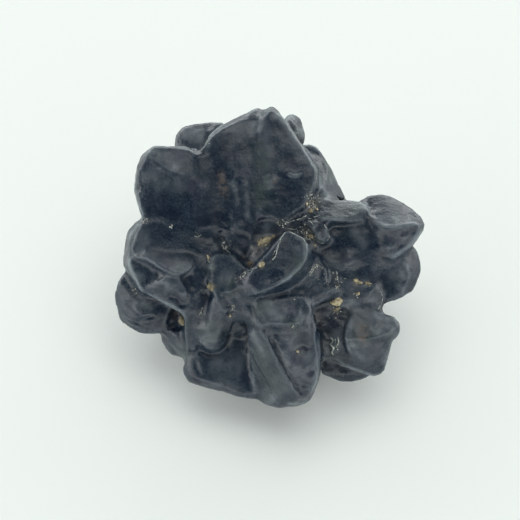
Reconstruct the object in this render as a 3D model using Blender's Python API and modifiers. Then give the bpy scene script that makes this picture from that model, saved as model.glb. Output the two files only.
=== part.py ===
"""Prophecy stone: an iron-rich concretion, one piece of blocky crystals grown out from a common middle.

Lengths are in millimetres until the last scaling to metres.

The stone's good face is measured square on: x to the right, y up the face, z out of it towards the eye,
from the middle of the stone. FACE_LEAN then lays that face back, as the stone lies on its feet, and the
crystals of the hidden sides are placed straight in the resting frame: x right, y to the back, z up.
"""

import math
import random

import bmesh
import bpy
from mathutils import Matrix, Vector

MM = 0.001
FACE_LEAN = math.radians(30.0)  # how far the good face leans back from level
REST_HEIGHT = 17.0  # height of the stone's middle over the surface it lies on
CENTRE_SHIFT = (0.20, 0.37)  # puts the box of the whole stone over the origin

CORE_CENTRE = (0.0, -1.5, -1.5)
CORE_RADII = (13.5, 12.5, 10.0)

# Corners of each crystal of the good face, in face coordinates. A crystal is the hull of its corners.
FACE_CRYSTALS = {
    "crown_plate": [
        (0.0, 21.8, 7.2), (1.8, 20.4, 7.6), (4.9, 15.8, 8.4), (6.9, 12.9, 8.7), (6.2, 10.2, 9.1),
        (4.9, 7.4, 9.2), (1.6, 5.5, 9.2), (-0.6, 7.5, 9.2), (-0.9, 14.5, 8.4), (-0.9, 20.0, 7.3),
        (0.0, 22.7, 3.6), (1.1, 21.9, 4.0), (2.2, 20.2, 3.2), (5.3, 15.4, 4.0), (7.1, 13.2, 4.5),
        (6.8, 10.4, 5.0), (-3.2, 19.2, 5.3), (-3.8, 13.8, 6.9), (-3.6, 6.5, 8.3), (6.6, 13.2, -1.0),
        (2.0, 20.0, -1.5), (6.0, 9.0, 0.0), (-1.0, 15.0, -5.0), (0.0, 7.0, -3.0),
    ],
    "crown_flank": [
        (-1.7, 22.4, 4.4), (-3.0, 21.8, 4.2), (-1.4, 20.6, 6.1), (-2.4, 19.4, 6.1), (-2.0, 14.0, 7.2),
        (-1.6, 7.0, 8.9), (-4.6, 20.7, 4.9), (-7.0, 19.8, 5.1), (-9.0, 18.4, 5.9), (-10.1, 16.3, 7.0),
        (-7.6, 12.0, 5.6), (-6.4, 8.0, 7.0), (-4.8, 3.8, 8.0), (-2.6, 3.2, 8.6), (-9.2, 15.9, 7.2),
        (-6.9, 19.0, 7.1), (-4.6, 19.9, 6.7), (-5.8, 13.0, 6.9), (-8.9, 17.7, 7.4), (-9.0, 16.0, -3.0),
        (-3.0, 20.5, -2.5), (-6.0, 6.0, -3.0), (0.0, 9.0, -3.0), (0.0, 18.0, -3.0),
    ],
    "left_block": [
        (-18.5, 15.1, 7.4), (-16.6, 13.9, 8.4), (-14.8, 12.7, 9.0), (-13.0, 12.2, 9.2),
        (-11.4, 12.8, 8.7), (-19.8, 12.5, 7.1), (-19.9, 9.6, 7.2), (-19.3, 7.7, 7.6), (-12.0, 7.6, 8.5),
        (-9.0, 8.4, 8.0), (-18.9, 5.7, 7.6), (-14.6, 5.0, 8.1), (-10.4, 4.2, 8.6), (-7.6, 4.6, 8.2),
        (-17.4, 16.3, 7.0), (-14.4, 16.4, 7.4), (-12.4, 16.2, 7.6), (-11.2, 15.6, 7.6),
        (-19.8, 13.7, 5.4), (-20.0, 11.0, 5.4), (-20.2, 9.8, 5.4), (-19.5, 7.2, 6.6),
        (-19.3, 15.2, 3.0), (-17.0, 16.6, 0.4), (-12.5, 16.6, 0.4), (-20.0, 13.0, 0.5),
        (-20.0, 9.0, 0.0), (-18.5, 9.0, -4.0), (-9.0, 6.0, -4.0), (-9.0, 14.0, -4.0),
    ],
    "shoulder_table": [
        (-20.6, 2.9, 6.0), (-19.2, 4.8, 6.9), (-17.4, 4.6, 7.6), (-14.6, 3.8, 8.0), (-10.4, 3.0, 8.1),
        (-7.6, 1.9, 8.0), (-20.9, 0.4, 6.6), (-18.4, 0.0, 7.5), (-14.6, -1.0, 8.1), (-10.4, -1.0, 8.1),
        (-9.4, 0.6, 8.2), (-21.9, 1.0, 2.6), (-21.4, 3.9, 2.6), (-22.0, -1.0, 2.2), (-19.9, 5.5, 3.8),
        (-17.4, 5.2, 6.6), (-10.0, 3.6, 6.6), (-7.2, 2.4, 6.4), (-20.0, 3.0, -2.0), (-9.0, 2.0, -3.0),
        (-20.0, -2.0, -2.0), (-9.0, -3.0, -3.0),
    ],
    "shoulder_lip": [
        (-20.6, 1.2, 6.5), (-20.5, 0.0, 6.9), (-18.4, -0.1, 8.2), (-17.0, -0.8, 9.1),
        (-16.0, -1.4, 9.7), (-15.0, -2.1, 10.1), (-13.9, -2.6, 10.4), (-12.8, -2.3, 10.3),
        (-11.5, -1.4, 9.8), (-18.5, 1.4, 7.6), (-13.5, 0.4, 8.7), (-11.8, 0.2, 8.6), (-21.3, 0.6, 3.4),
        (-18.2, -0.4, 6.0), (-16.0, -1.8, 7.4), (-14.0, -2.9, 8.0), (-12.0, -1.8, 7.8),
        (-12.0, 1.0, 3.0), (-18.0, 2.0, 2.0),
    ],
    "shoulder_hollow": [
        (-21.0, -0.2, 6.4), (-20.7, -1.6, 6.9), (-20.0, -3.4, 6.9), (-19.2, -4.9, 6.6),
        (-17.0, -2.2, 7.3), (-17.4, -4.8, 7.0), (-15.6, -2.9, 7.7), (-19.4, -0.6, 6.9),
        (-16.6, -6.0, 6.8), (-12.4, -1.4, 8.4), (-21.9, 0.2, 2.8), (-22.0, -1.2, 2.6),
        (-21.3, -2.4, 2.6), (-19.4, -5.1, 3.4), (-15.8, -5.8, 3.6), (-12.0, -6.0, -3.0),
        (-20.0, 0.0, -2.0), (-11.0, 0.0, 0.0),
    ],
    "shoulder_face": [
        (-18.8, -5.1, 6.4), (-16.6, -6.1, 7.2), (-14.6, -7.1, 7.6), (-13.0, -8.2, 7.7),
        (-11.8, -7.6, 7.7), (-12.4, -5.0, 8.8), (-13.4, -3.3, 9.7), (-15.2, -3.1, 9.5),
        (-17.0, -3.7, 8.2), (-18.4, -4.7, 6.9), (-14.4, -6.7, 4.2), (-12.3, -8.8, 4.0),
        (-12.0, -6.0, -3.0), (-16.0, -4.0, 0.0),
    ],
    "shoulder_rib": [
        (-12.9, -8.3, 7.3), (-11.5, -7.8, 8.0), (-12.7, -11.0, 5.4), (-11.5, -11.0, 5.7),
        (-12.5, -14.2, 3.0), (-11.6, -14.0, 3.2), (-12.7, -8.0, 1.0), (-12.4, -14.0, -1.0),
        (-10.8, -14.0, -1.0), (-10.8, -8.0, 1.0),
    ],
    "left_low_block": [
        (-23.4, -5.7, 0.4), (-22.9, -4.0, 1.5), (-22.2, -2.4, 1.8), (-23.0, -8.6, -0.4),
        (-22.4, -9.6, -0.2), (-21.2, -10.6, 0.2), (-19.5, -11.3, 0.4), (-16.4, -11.3, 0.8),
        (-21.6, -4.3, 2.1), (-22.2, -7.4, 1.0), (-21.4, -8.5, 0.9), (-20.3, -9.2, 1.2),
        (-18.8, -9.0, 1.8), (-15.5, -9.2, 1.9), (-14.5, -7.0, 2.2), (-19.5, -3.5, 3.0),
        (-19.0, -5.0, -7.0), (-12.0, -6.0, -6.0), (-14.0, -10.0, -7.0), (-17.0, -2.0, -6.0),
        (-20.5, -9.0, -6.0),
    ],
    "left_low_knuckle": [
        (-16.3, -11.2, -2.0), (-16.3, -12.4, -2.1), (-15.8, -13.6, -2.4), (-15.0, -14.5, -2.0),
        (-13.9, -15.0, -1.2), (-15.5, -12.6, 0.2), (-14.7, -11.2, 2.0), (-14.2, -13.4, 1.4),
        (-12.6, -11.0, 2.6), (-12.4, -14.6, 1.8), (-14.5, -12.0, -7.0), (-10.0, -12.0, -6.0),
        (-14.5, -9.0, -4.0),
    ],
    "foot_plate": [
        (-12.4, -14.6, 1.9), (-13.2, -16.5, 1.0), (-12.9, -17.6, 0.6), (-12.3, -18.7, 0.4),
        (-11.3, -19.0, 1.0), (-11.8, -17.9, 1.8), (-10.9, -14.4, 2.8), (-6.4, -12.8, 3.5),
        (-3.0, -12.4, 3.9), (-2.6, -19.0, 3.3), (-2.8, -21.0, 2.7), (-4.2, -20.6, 2.6),
        (-6.0, -19.3, 2.8), (-9.3, -18.6, 2.5), (-2.2, -21.4, 2.2), (-11.0, -17.0, -7.0),
        (-4.0, -18.5, -7.0), (-3.0, -12.0, -7.0), (-10.0, -12.0, -7.0),
    ],
    "toe": [
        (-10.9, -11.0, 6.4), (-10.5, -12.8, 5.2), (-9.2, -13.8, 4.6), (-7.8, -13.7, 4.6),
        (-6.9, -12.9, 5.0), (-6.7, -11.6, 6.2), (-9.6, -12.0, 7.2), (-8.0, -12.0, 7.4),
        (-10.1, -9.0, 8.0), (-9.0, -9.4, 8.7), (-9.3, -6.5, 9.0), (-8.2, -5.4, 10.2), (-7.0, -8.3, 9.6),
        (-7.1, -10.2, 8.3), (-5.4, -8.4, 8.8), (-4.8, -6.5, 10.0), (-8.0, -8.0, 0.0),
        (-6.0, -10.0, 0.0), (-8.0, -4.0, 2.0),
    ],
    "prow_side": [
        (-1.4, -10.7, 11.0), (-0.6, -11.6, 10.8), (0.3, -13.6, 10.2), (1.4, -16.0, 9.5),
        (2.5, -17.8, 8.9), (3.5, -19.6, 8.0), (4.6, -20.9, 7.1), (3.4, -21.6, 5.4), (1.4, -22.6, 2.8),
        (0.0, -22.2, 2.2), (-1.0, -22.0, 1.6), (-1.9, -21.4, 1.4), (-3.4, -10.4, 8.4),
        (-3.4, -12.0, 7.4), (-2.6, -15.0, 5.8), (-2.3, -19.0, 3.2), (0.0, -8.0, 0.0),
        (4.0, -18.0, -3.0), (0.0, -18.0, -4.0), (4.0, -21.8, 2.0), (0.0, -9.0, 9.0),
    ],
    "prow_face": [
        (-0.6, -10.6, 10.2), (0.6, -13.4, 9.6), (1.8, -16.0, 8.9), (2.9, -17.8, 8.3), (4.0, -19.6, 7.4),
        (4.8, -20.6, 6.8), (5.8, -20.0, 7.1), (6.6, -17.4, 8.3), (6.8, -14.5, 9.1), (6.5, -11.6, 9.8),
        (3.0, -10.2, 10.6), (7.3, -11.2, 7.8), (7.5, -14.5, 6.4), (7.4, -16.7, 5.6), (7.1, -18.6, 4.8),
        (6.6, -20.2, 4.2), (5.9, -21.3, 3.8), (4.5, -22.0, 3.6), (3.0, -22.3, 3.2), (6.0, -10.0, 0.0),
        (5.0, -18.0, -3.0), (7.2, -15.0, 1.0), (5.5, -20.0, -1.0), (1.5, -20.5, 2.0), (0.0, -10.0, 2.0),
    ],
    "knuckle": [
        (-3.5, -9.6, 9.4), (-3.4, -8.0, 9.8), (-2.4, -6.3, 10.6), (0.0, -6.0, 11.2), (3.4, -5.6, 10.8),
        (5.0, -6.1, 10.2), (6.2, -8.0, 9.6), (6.9, -10.6, 9.3), (6.5, -11.6, 9.6), (3.5, -9.4, 11.6),
        (0.0, -9.5, 11.8), (-1.6, -10.2, 11.0), (0.0, -6.0, 2.0), (5.0, -8.0, 2.0), (0.0, -10.0, 2.0),
    ],
    "hole_rim": [
        (4.6, -6.4, 9.8), (5.2, -5.2, 9.4), (7.0, -4.6, 8.8), (9.5, -4.4, 8.0), (10.4, -5.0, 7.4),
        (9.0, -5.9, 7.6), (7.0, -6.3, 8.6), (6.3, -7.2, 9.0), (6.0, -4.0, 2.0), (10.0, -4.0, 1.0),
        (8.0, -5.8, 1.0),
    ],
    "petal": [
        (2.4, 4.1, 11.8), (3.6, 3.7, 12.3), (4.8, 2.8, 12.7), (5.4, 1.4, 12.9), (5.2, 0.0, 12.9),
        (4.2, -1.5, 13.3), (2.5, -3.0, 13.5), (0.5, -4.2, 13.5), (-1.6, -5.3, 12.9), (1.2, 2.2, 12.2),
        (0.7, 0.0, 12.5), (-1.0, -1.4, 12.6), (-3.5, -2.6, 12.2), (-4.6, -4.2, 11.6),
        (-4.0, -5.6, 11.2), (6.0, 1.2, 9.6), (6.1, -0.4, 9.8), (5.5, -1.8, 10.0), (3.8, -3.4, 10.4),
        (1.4, -4.9, 10.8), (-1.5, -5.9, 10.8), (0.5, 0.0, 8.0), (1.2, 2.6, 8.0), (2.0, 2.0, 3.0),
        (3.0, -3.0, 3.0), (-3.0, -4.0, 4.0),
    ],
    "crevice_lump": [
        (-2.9, 0.6, 9.0), (-2.7, 1.8, 8.8), (-1.0, 3.1, 8.6), (0.7, 2.9, 8.8), (0.7, 1.0, 9.4),
        (-0.5, -0.5, 10.0), (-2.5, -0.8, 10.0), (-1.0, 1.2, 9.9), (-3.6, -0.8, 9.0), (-2.0, 0.0, 2.0),
        (1.0, 2.0, 2.0),
    ],
    "crown_root": [
        (-5.6, 4.6, 6.8), (-3.0, 3.4, 8.0), (0.0, 4.4, 8.6), (2.4, 5.6, 9.0), (2.6, 4.0, 8.6),
        (0.8, 2.6, 8.2), (-3.0, 2.0, 7.9), (-6.4, 2.4, 7.4), (-3.0, 4.0, 0.0), (2.0, 4.0, 0.0),
    ],
    "middle_saddle": [
        (-13.0, -2.8, 8.4), (-9.4, -1.6, 7.8), (-9.0, -4.0, 7.6), (-9.2, -7.0, 7.2), (-10.4, -8.4, 6.5),
        (-12.4, -8.0, 6.8), (-12.8, -5.0, 7.9), (-11.0, -4.6, 7.4), (-11.0, -5.0, 0.0),
        (-10.0, -2.0, 0.0),
    ],
    "toe_recess": [
        (-7.2, -9.4, 4.2), (-3.6, -9.2, 4.5), (-3.2, -13.4, 3.8), (-6.8, -13.8, 3.4),
        (-6.0, -10.0, 0.0), (-4.0, -12.0, 0.0),
    ],
    "rib_root": [
        (-15.6, -7.6, 0.9), (-12.6, -8.4, 1.4), (-12.4, -10.8, 1.3), (-14.6, -11.0, 0.9),
        (-13.4, -9.6, 1.2), (-14.0, -9.0, -3.0), (-12.0, -10.0, -3.0),
    ],
    "petal_root": [
        (2.6, -5.4, 9.8), (4.4, -6.0, 9.8), (6.0, -5.0, 8.8), (8.6, -4.2, 8.2), (8.4, -2.0, 8.1),
        (6.8, 0.6, 8.0), (5.6, -1.0, 9.0), (3.0, -3.6, 9.8), (5.0, -3.0, 0.0), (8.0, -2.0, 0.0),
    ],
    "grit_shelf": [
        (8.8, -3.4, 7.4), (12.8, -3.2, 6.4), (13.2, -6.2, 6.4), (12.4, -7.4, 6.2), (10.6, -7.6, 6.4),
        (9.2, -7.0, 6.8), (9.0, -5.4, 7.4), (10.8, -5.4, 6.9), (10.0, -5.0, 0.0), (12.0, -6.0, 0.0),
    ],
    "left_middle": [
        (-9.8, -2.5, 8.4), (-9.6, -0.2, 8.2), (-8.2, 0.4, 9.1), (-5.6, 0.3, 10.1), (-3.6, -1.6, 11.1),
        (-4.2, -4.2, 11.2), (-6.0, -5.4, 11.0), (-8.6, -5.2, 10.0), (-8.0, -3.0, 2.0),
        (-4.0, -1.0, 2.0), (-6.0, 1.2, 6.0), (-9.0, 1.0, 5.0),
    ],
    "crown_saddle": [
        (-12.0, 14.4, 8.0), (-10.6, 15.4, 7.6), (-8.6, 15.2, 7.3), (-7.0, 12.0, 7.1), (-6.0, 8.0, 7.2),
        (-8.6, 6.6, 7.3), (-10.6, 6.8, 7.6), (-12.0, 9.0, 8.3), (-12.4, 12.0, 8.3), (-9.8, 11.3, 7.8),
        (-10.0, 10.0, 0.0), (-8.0, 8.0, 0.0), (-10.0, 14.0, 0.0),
    ],
    "flank_root": [
        (-9.6, 7.2, 7.5), (-7.2, 8.4, 7.3), (-5.4, 6.6, 7.5), (-5.4, 4.4, 7.6), (-8.2, 3.8, 7.5),
        (-10.6, 4.6, 7.7), (-7.6, 6.0, 7.3), (-8.0, 6.0, 0.0), (-6.0, 5.0, 0.0),
    ],
    "petal_foot": [
        (-5.4, -5.4, 10.4), (-2.4, -5.8, 10.8), (-2.2, -7.6, 10.2), (-4.0, -6.8, 9.9),
        (-5.0, -8.6, 8.8), (-3.4, -9.6, 8.8), (-4.0, -6.0, 2.0), (-3.0, -9.0, 2.0),
    ],
    "toe_side": [
        (-12.4, -11.8, 4.8), (-10.4, -11.6, 5.4), (-10.2, -13.6, 4.0), (-12.4, -14.2, 3.4),
        (-11.2, -12.8, 4.4), (-11.0, -13.0, -2.0), (-12.0, -12.0, -2.0),
    ],
    "right_notch": [
        (13.8, -1.0, 6.4), (16.4, -0.4, 5.4), (16.8, -3.0, 5.2), (15.6, -4.4, 5.8), (13.6, -3.6, 6.3),
        (15.2, -2.2, 5.6), (14.0, -2.0, 0.0), (16.0, -3.0, 0.0),
    ],
    "hole_floor": [
        (6.6, -6.8, 6.4), (8.6, -6.4, 6.4), (11.0, -7.4, 5.6), (11.6, -9.2, 5.0), (11.4, -11.8, 4.4),
        (9.2, -12.0, 4.2), (7.0, -11.8, 4.9), (6.8, -9.2, 5.2), (9.2, -9.4, 4.7), (8.0, -8.0, -3.0),
        (10.0, -11.0, -3.0),
    ],
    "saddle": [
        (6.0, 5.6, 8.6), (7.4, 8.4, 6.0), (9.4, 8.5, 5.4), (11.3, 8.6, 4.9), (13.2, 8.4, 4.9),
        (14.4, 7.8, 5.4), (15.0, 6.7, 6.1), (14.6, 5.6, 6.8), (12.6, 5.9, 7.6), (11.2, 5.4, 8.4),
        (9.0, 5.6, 8.8), (8.0, 3.0, 0.0), (13.0, 3.0, 0.0),
    ],
    "right_block": [
        (15.1, 6.6, 6.0), (15.0, 5.6, 7.2), (15.8, 4.8, 7.8), (17.2, 4.3, 8.2), (18.7, 4.5, 8.0),
        (20.5, 4.7, 7.4), (22.3, 4.5, 6.4), (23.0, 5.0, 5.2), (22.5, 6.0, 4.6), (21.3, 7.0, 4.0),
        (20.0, 8.1, 3.5), (18.0, 9.1, 3.0), (16.3, 9.5, 3.1), (14.4, 9.1, 3.4), (13.2, 8.5, 3.8),
        (22.9, 4.2, 4.4), (22.3, 3.5, 4.2), (21.5, 2.5, 4.4), (20.8, 1.7, 4.8), (20.0, 1.3, 6.0),
        (19.7, 0.6, 5.4), (18.2, -0.4, 5.8), (16.6, 0.0, 6.4), (21.5, 5.0, -1.0), (18.0, 7.5, -4.0),
        (19.0, 1.5, -3.0), (11.0, 4.0, -4.0),
    ],
    "right_low_block": [
        (21.4, 1.6, 2.8), (22.0, 0.5, 2.8), (22.4, -0.9, 2.7), (22.4, -2.1, 2.7), (21.9, -3.6, 2.9),
        (21.1, -5.2, 3.0), (20.0, -0.4, 4.8), (20.3, -3.8, 4.6), (19.5, -6.0, 4.2), (17.0, -6.9, 4.8),
        (16.2, -3.0, 5.4), (16.4, 0.0, 5.4), (20.0, -1.0, -6.0), (17.0, -4.5, -5.0), (10.0, -2.0, -4.0),
    ],
    "right_hollow": [
        (8.6, 4.6, 5.4), (12.0, 5.0, 6.6), (15.2, 4.6, 6.8), (17.0, 2.5, 6.4), (16.4, -0.8, 5.4),
        (13.6, -3.0, 6.0), (10.8, -3.6, 6.4), (8.4, -2.6, 6.6), (7.4, 0.5, 6.2), (11.6, -0.4, 7.2),
        (8.0, 0.0, 0.0), (14.0, 0.0, 0.0),
    ],
    "right_wedge": [
        (12.5, -4.0, 6.4), (13.6, -4.0, 6.8), (15.4, -4.1, 6.4), (16.2, -4.8, 5.8), (16.6, -6.2, 5.0),
        (16.3, -7.9, 4.0), (13.6, -6.8, 6.6), (12.6, -5.6, 6.7), (11.0, -5.0, 0.0), (15.0, -7.0, -2.0),
        (14.0, -3.0, 0.0),
    ],
    "star_block": [
        (13.4, -7.3, 6.2), (12.3, -8.4, 6.6), (11.3, -10.2, 7.1), (11.0, -12.0, 7.3), (14.6, -7.4, 6.2),
        (16.3, -8.0, 6.2), (18.3, -8.8, 6.1), (19.2, -9.9, 5.8), (19.3, -11.0, 5.4), (18.8, -12.0, 4.4),
        (15.0, -12.0, 7.9), (17.4, -11.3, 7.1), (12.6, -13.0, 6.6), (16.4, -12.6, 4.6),
        (18.0, -11.0, -3.0), (15.0, -12.0, -4.0), (11.0, -10.0, -5.0), (14.0, -8.0, -2.0),
    ],
    "star_lower_arm": [
        (11.0, -11.6, 7.2), (11.3, -13.5, 6.5), (12.2, -14.9, 5.6), (13.2, -17.0, 2.9),
        (12.0, -16.7, 3.1), (11.4, -15.6, 4.4), (15.0, -12.2, 7.3), (16.8, -11.8, 6.0),
        (18.2, -12.9, 4.0), (17.4, -15.0, 3.2), (17.1, -16.8, 2.3), (16.5, -17.5, 1.7),
        (15.4, -17.8, 1.7), (16.4, -14.6, 4.6), (11.0, -15.0, -4.0), (15.0, -16.0, -4.0),
        (11.0, -10.0, -5.0), (16.0, -13.0, -3.0),
    ],
    "star_web": [
        (12.6, -16.6, 3.4), (12.0, -13.8, 5.4), (11.0, -11.4, 5.6), (10.0, -12.6, 4.6),
        (10.4, -16.0, 3.2), (9.2, -15.5, 3.2), (7.6, -15.0, 3.4), (9.5, -14.4, 4.0), (9.0, -14.0, -2.0),
        (12.0, -15.0, -3.0), (14.0, -16.8, 2.2),
    ],
    "under_star": [
        (7.4, -15.0, -1.6), (9.0, -15.6, -1.6), (12.0, -16.8, -1.9), (15.0, -17.5, -2.0),
        (7.6, -17.6, -2.2), (9.2, -18.2, -2.8), (10.5, -18.8, -3.3), (12.0, -18.9, -3.4),
        (13.6, -18.6, -3.0), (15.3, -17.8, -2.2), (9.0, -13.0, -9.0), (14.0, -14.0, -8.0),
        (8.0, -10.0, -4.0),
    ],
    "hole_ledge": [
        (6.9, -12.0, 5.8), (9.2, -11.8, 5.4), (10.1, -12.4, 5.0), (9.9, -14.2, 4.5), (9.3, -14.8, 4.2),
        (7.2, -14.9, 4.4), (7.0, -12.0, -3.0), (10.0, -12.0, -3.0), (9.0, -14.5, -4.0),
    ],
    "back_knob": [
        (2.2, 20.8, -2.6), (2.9, 21.8, -4.0), (3.8, 21.7, -4.3), (4.6, 21.0, -4.3), (5.0, 19.6, -4.1),
        (5.2, 18.4, -3.7), (5.1, 17.3, -3.1), (3.2, 20.6, -2.1), (4.1, 19.0, -1.5), (2.0, 15.0, -8.0),
        (4.0, 13.0, -6.0), (-1.0, 18.0, -8.0), (1.0, 19.0, -2.0),
    ],
    "right_ridge": [
        (5.0, 17.0, 0.5), (6.0, 17.1, 0.3), (6.8, 16.8, 0.2), (7.4, 16.0, 0.5), (8.2, 15.0, 0.4),
        (8.8, 13.7, -0.7), (9.4, 11.9, -0.1), (10.2, 10.2, 0.5), (11.3, 8.6, 1.1), (8.0, 14.2, 1.4),
        (8.9, 11.0, 2.9), (7.4, 12.0, 3.3), (5.4, 15.8, 1.1), (7.8, 9.0, 5.1), (7.0, 13.0, -7.0),
        (9.0, 8.0, -7.0), (3.0, 8.0, -5.0), (3.0, 14.0, -4.0),
    ],
    "back_left_knob": [
        (-14.6, 16.6, -3.5), (-14.5, 17.6, -3.9), (-14.2, 18.7, -4.3), (-13.5, 19.7, -4.8),
        (-12.0, 20.3, -4.9), (-9.0, 20.5, -4.7), (-7.0, 20.4, -4.0), (-13.0, 17.8, -2.9),
        (-9.0, 18.4, -2.7), (-8.0, 16.0, -1.3), (-12.0, 15.5, -1.4), (-12.0, 16.0, -9.0),
        (-8.0, 17.0, -9.0), (-7.0, 12.0, -6.0),
    ],
    "flap": [
        (5.4, 5.5, 9.5), (6.6, 5.4, 9.4), (7.9, 4.9, 8.8), (8.6, 3.9, 8.2), (8.7, 3.0, 7.9),
        (8.1, 2.0, 7.7), (7.2, 2.2, 8.2), (6.6, 3.2, 8.9), (5.6, 4.6, 9.4), (6.6, 4.6, 5.0),
        (7.6, 3.4, 5.0),
    ],
    "grit_bed": [
        (5.5, 9.2, 6.0), (7.6, 8.6, 5.0), (8.4, 5.0, 6.4), (8.6, 2.4, 6.2), (6.0, 1.2, 7.4),
        (2.5, 4.2, 8.4), (5.0, 5.6, 8.4), (5.4, 8.0, 7.4), (5.0, 4.0, 0.0), (7.0, 7.0, 0.0),
    ],
}

# Crystals of the hidden sides, in the resting frame: tip, half width, length from shoulder to tip,
# roll in degrees.
HIDDEN_CRYSTALS = {
    "back_upper_left": ((-11.0, 18.5, -1.0), 5.4, 5.0, 10.0),
    "back_upper_right": ((2.0, 20.0, -4.0), 5.8, 5.5, 35.0),
    "back_middle": ((-4.5, 19.5, -6.0), 4.6, 4.5, 60.0),
    "back_right": ((11.5, 12.0, -4.0), 5.2, 4.5, 70.0),
    "back_left_side": ((-18.5, 9.5, -6.5), 5.2, 5.0, 20.0),
    "back_low_left": ((-10.5, 14.5, -12.5), 5.8, 5.5, 50.0),
    "back_low_right": ((7.5, 14.5, -12.0), 5.6, 5.5, 15.0),
    "right_side": ((18.5, 4.5, -8.5), 5.4, 5.5, 40.0),
    "left_side": ((-19.0, -3.0, -10.5), 5.2, 5.5, 65.0),
    "right_low_side": ((14.5, -6.5, -13.0), 5.0, 5.0, 5.0),
    "front_low": ((0.5, -14.5, -13.5), 5.6, 5.0, 25.0),
    "under_left": ((-14.5, 3.0, -14.5), 5.4, 5.5, 30.0),
    "under_right": ((13.5, 3.5, -14.5), 5.4, 5.5, 55.0),
    "under_middle": ((1.0, -1.5, -16.0), 6.2, 4.5, 0.0),
}
# Feet are crystals too, cut by the surface that the stone has worn flat on.
FEET = {
    "foot_front_left": ((-8.5, -9.5, -18.0), 5.8, 6.5, 12.0),
    "foot_front_right": ((8.5, -9.0, -18.0), 5.4, 6.5, 48.0),
    "foot_back": ((-1.0, 9.0, -18.2), 6.2, 6.5, 80.0),
}

PIT_CENTRE = (4.4, -13.2, 10.4)  # the round pit in the prow's face, in face coordinates
PIT_RADIUS = 2.0

VOXEL = 0.45  # cell of the remesh that grows the crystals into one skin
FILLET = 0.7  # radius that mineral growth has left in the inner corners
WEAR_SPARE = 0.25  # stock left on the faces for the wear to take
SMOOTH_STEPS = 5
SMOOTH_FACTOR = 0.5
FACET_SHARE = 0.105  # share of the skin's faces kept as facets
SEED = 9


def clear_scene():
    for obj in list(bpy.data.objects):
        bpy.data.objects.remove(obj)


def add_hull(bm, corners, place):
    """Adds the hull of the corners to bm, each corner carried by place."""
    verts = [bm.verts.new(place @ Vector(corner)) for corner in corners]
    made = bmesh.ops.convex_hull(bm, input=verts)
    spare = set(made["geom_interior"]) | set(made["geom_unused"])
    bmesh.ops.delete(bm, geom=[g for g in spare if isinstance(g, bmesh.types.BMVert)], context="VERTS")


def knob_corners(tip, half_width, shoulder, roll, rng):
    """Corners of a blocky crystal that grows from the middle of the stone out to its tip."""
    axis = Vector(tip)
    length = axis.length
    out = axis.normalized()
    side = out.orthogonal().normalized()
    side.rotate(Matrix.Rotation(math.radians(roll), 3, out))
    up = out.cross(side)
    rings = [  # distance from the middle, width share, number of corners
        (length * 0.30, 0.80, 5),
        (length - shoulder, 1.00, 5),
        (length - 0.35 * shoulder, 0.72, 4),
        (length, 0.30, 3),
    ]
    corners = []
    for far, share, count in rings:
        for k in range(count):
            angle = 2 * math.pi * k / count + rng.uniform(-0.25, 0.25)
            reach = half_width * share * rng.uniform(0.85, 1.12)
            along = far + rng.uniform(-0.5, 0.3)
            across = side * (reach * math.cos(angle)) + up * (0.85 * reach * math.sin(angle))
            corners.append(out * along + across)
    return corners


def raw_crystals():
    """Every crystal and the core as closed shells that overlap, in millimetres, in the resting frame."""
    bm = bmesh.new()
    lean = Matrix.Rotation(FACE_LEAN, 4, "X")
    lift = Matrix.Translation((CENTRE_SHIFT[0], CENTRE_SHIFT[1], REST_HEIGHT))
    core = Matrix.Translation(CORE_CENTRE) @ Matrix.Diagonal((*CORE_RADII, 1.0))
    bmesh.ops.create_icosphere(bm, subdivisions=4, radius=1.0, matrix=lift @ lean @ core)
    for corners in FACE_CRYSTALS.values():
        add_hull(bm, corners, lift @ lean)
    rng = random.Random(SEED)
    for tip, half_width, shoulder, roll in [*HIDDEN_CRYSTALS.values(), *FEET.values()]:
        add_hull(bm, knob_corners(tip, half_width, shoulder, roll, rng), lift)
    return bm


def add_remesh(obj, name, voxel):
    remesh = obj.modifiers.new(name, "REMESH")
    remesh.mode = "VOXEL"
    remesh.voxel_size = voxel * MM


def add_swell(obj, name, distance):
    swell = obj.modifiers.new(name, "DISPLACE")
    swell.mid_level = 0.0
    swell.strength = distance * MM


def add_cut(stone, name, cutter):
    cut = stone.modifiers.new(name, "BOOLEAN")
    cut.operation = "DIFFERENCE"
    cut.solver = "EXACT"
    cut.object = cutter


def make_stone(collection, pit, voxel):
    """The shells grown together, the inner corners filled, the pit sunk and the faces worn."""
    bm = raw_crystals()
    bmesh.ops.scale(bm, vec=(MM, MM, MM), verts=bm.verts)
    bmesh.ops.recalc_face_normals(bm, faces=bm.faces)
    mesh = bpy.data.meshes.new("prophecy_stone")
    bm.to_mesh(mesh)
    bm.free()
    stone = bpy.data.objects.new("prophecy_stone", mesh)
    collection.objects.link(stone)
    add_remesh(stone, "grow together", voxel)
    add_swell(stone, "fill the corners", FILLET)
    add_remesh(stone, "close over the corners", voxel)
    add_swell(stone, "back to the faces", WEAR_SPARE - FILLET)
    add_remesh(stone, "one skin", voxel)
    add_cut(stone, "pit", pit)
    wear = stone.modifiers.new("wear", "SMOOTH")
    wear.factor = SMOOTH_FACTOR
    wear.iterations = SMOOTH_STEPS
    return stone


def new_cutter(name, bm, collection):
    mesh = bpy.data.meshes.new(name)
    bm.to_mesh(mesh)
    bm.free()
    cutter = bpy.data.objects.new(name, mesh)
    cutter.hide_render = True
    cutter.display_type = "WIRE"
    collection.objects.link(cutter)
    return cutter


def ground_cutter(collection):
    """A slab whose top face is the surface the stone lies on."""
    bm = bmesh.new()
    bmesh.ops.create_cube(bm, size=1.0, matrix=Matrix.Diagonal((0.08, 0.08, 0.02, 1.0)))
    bmesh.ops.translate(bm, vec=(0.0, 0.0, -0.01), verts=bm.verts)
    return new_cutter("ground_cutter", bm, collection)


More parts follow.
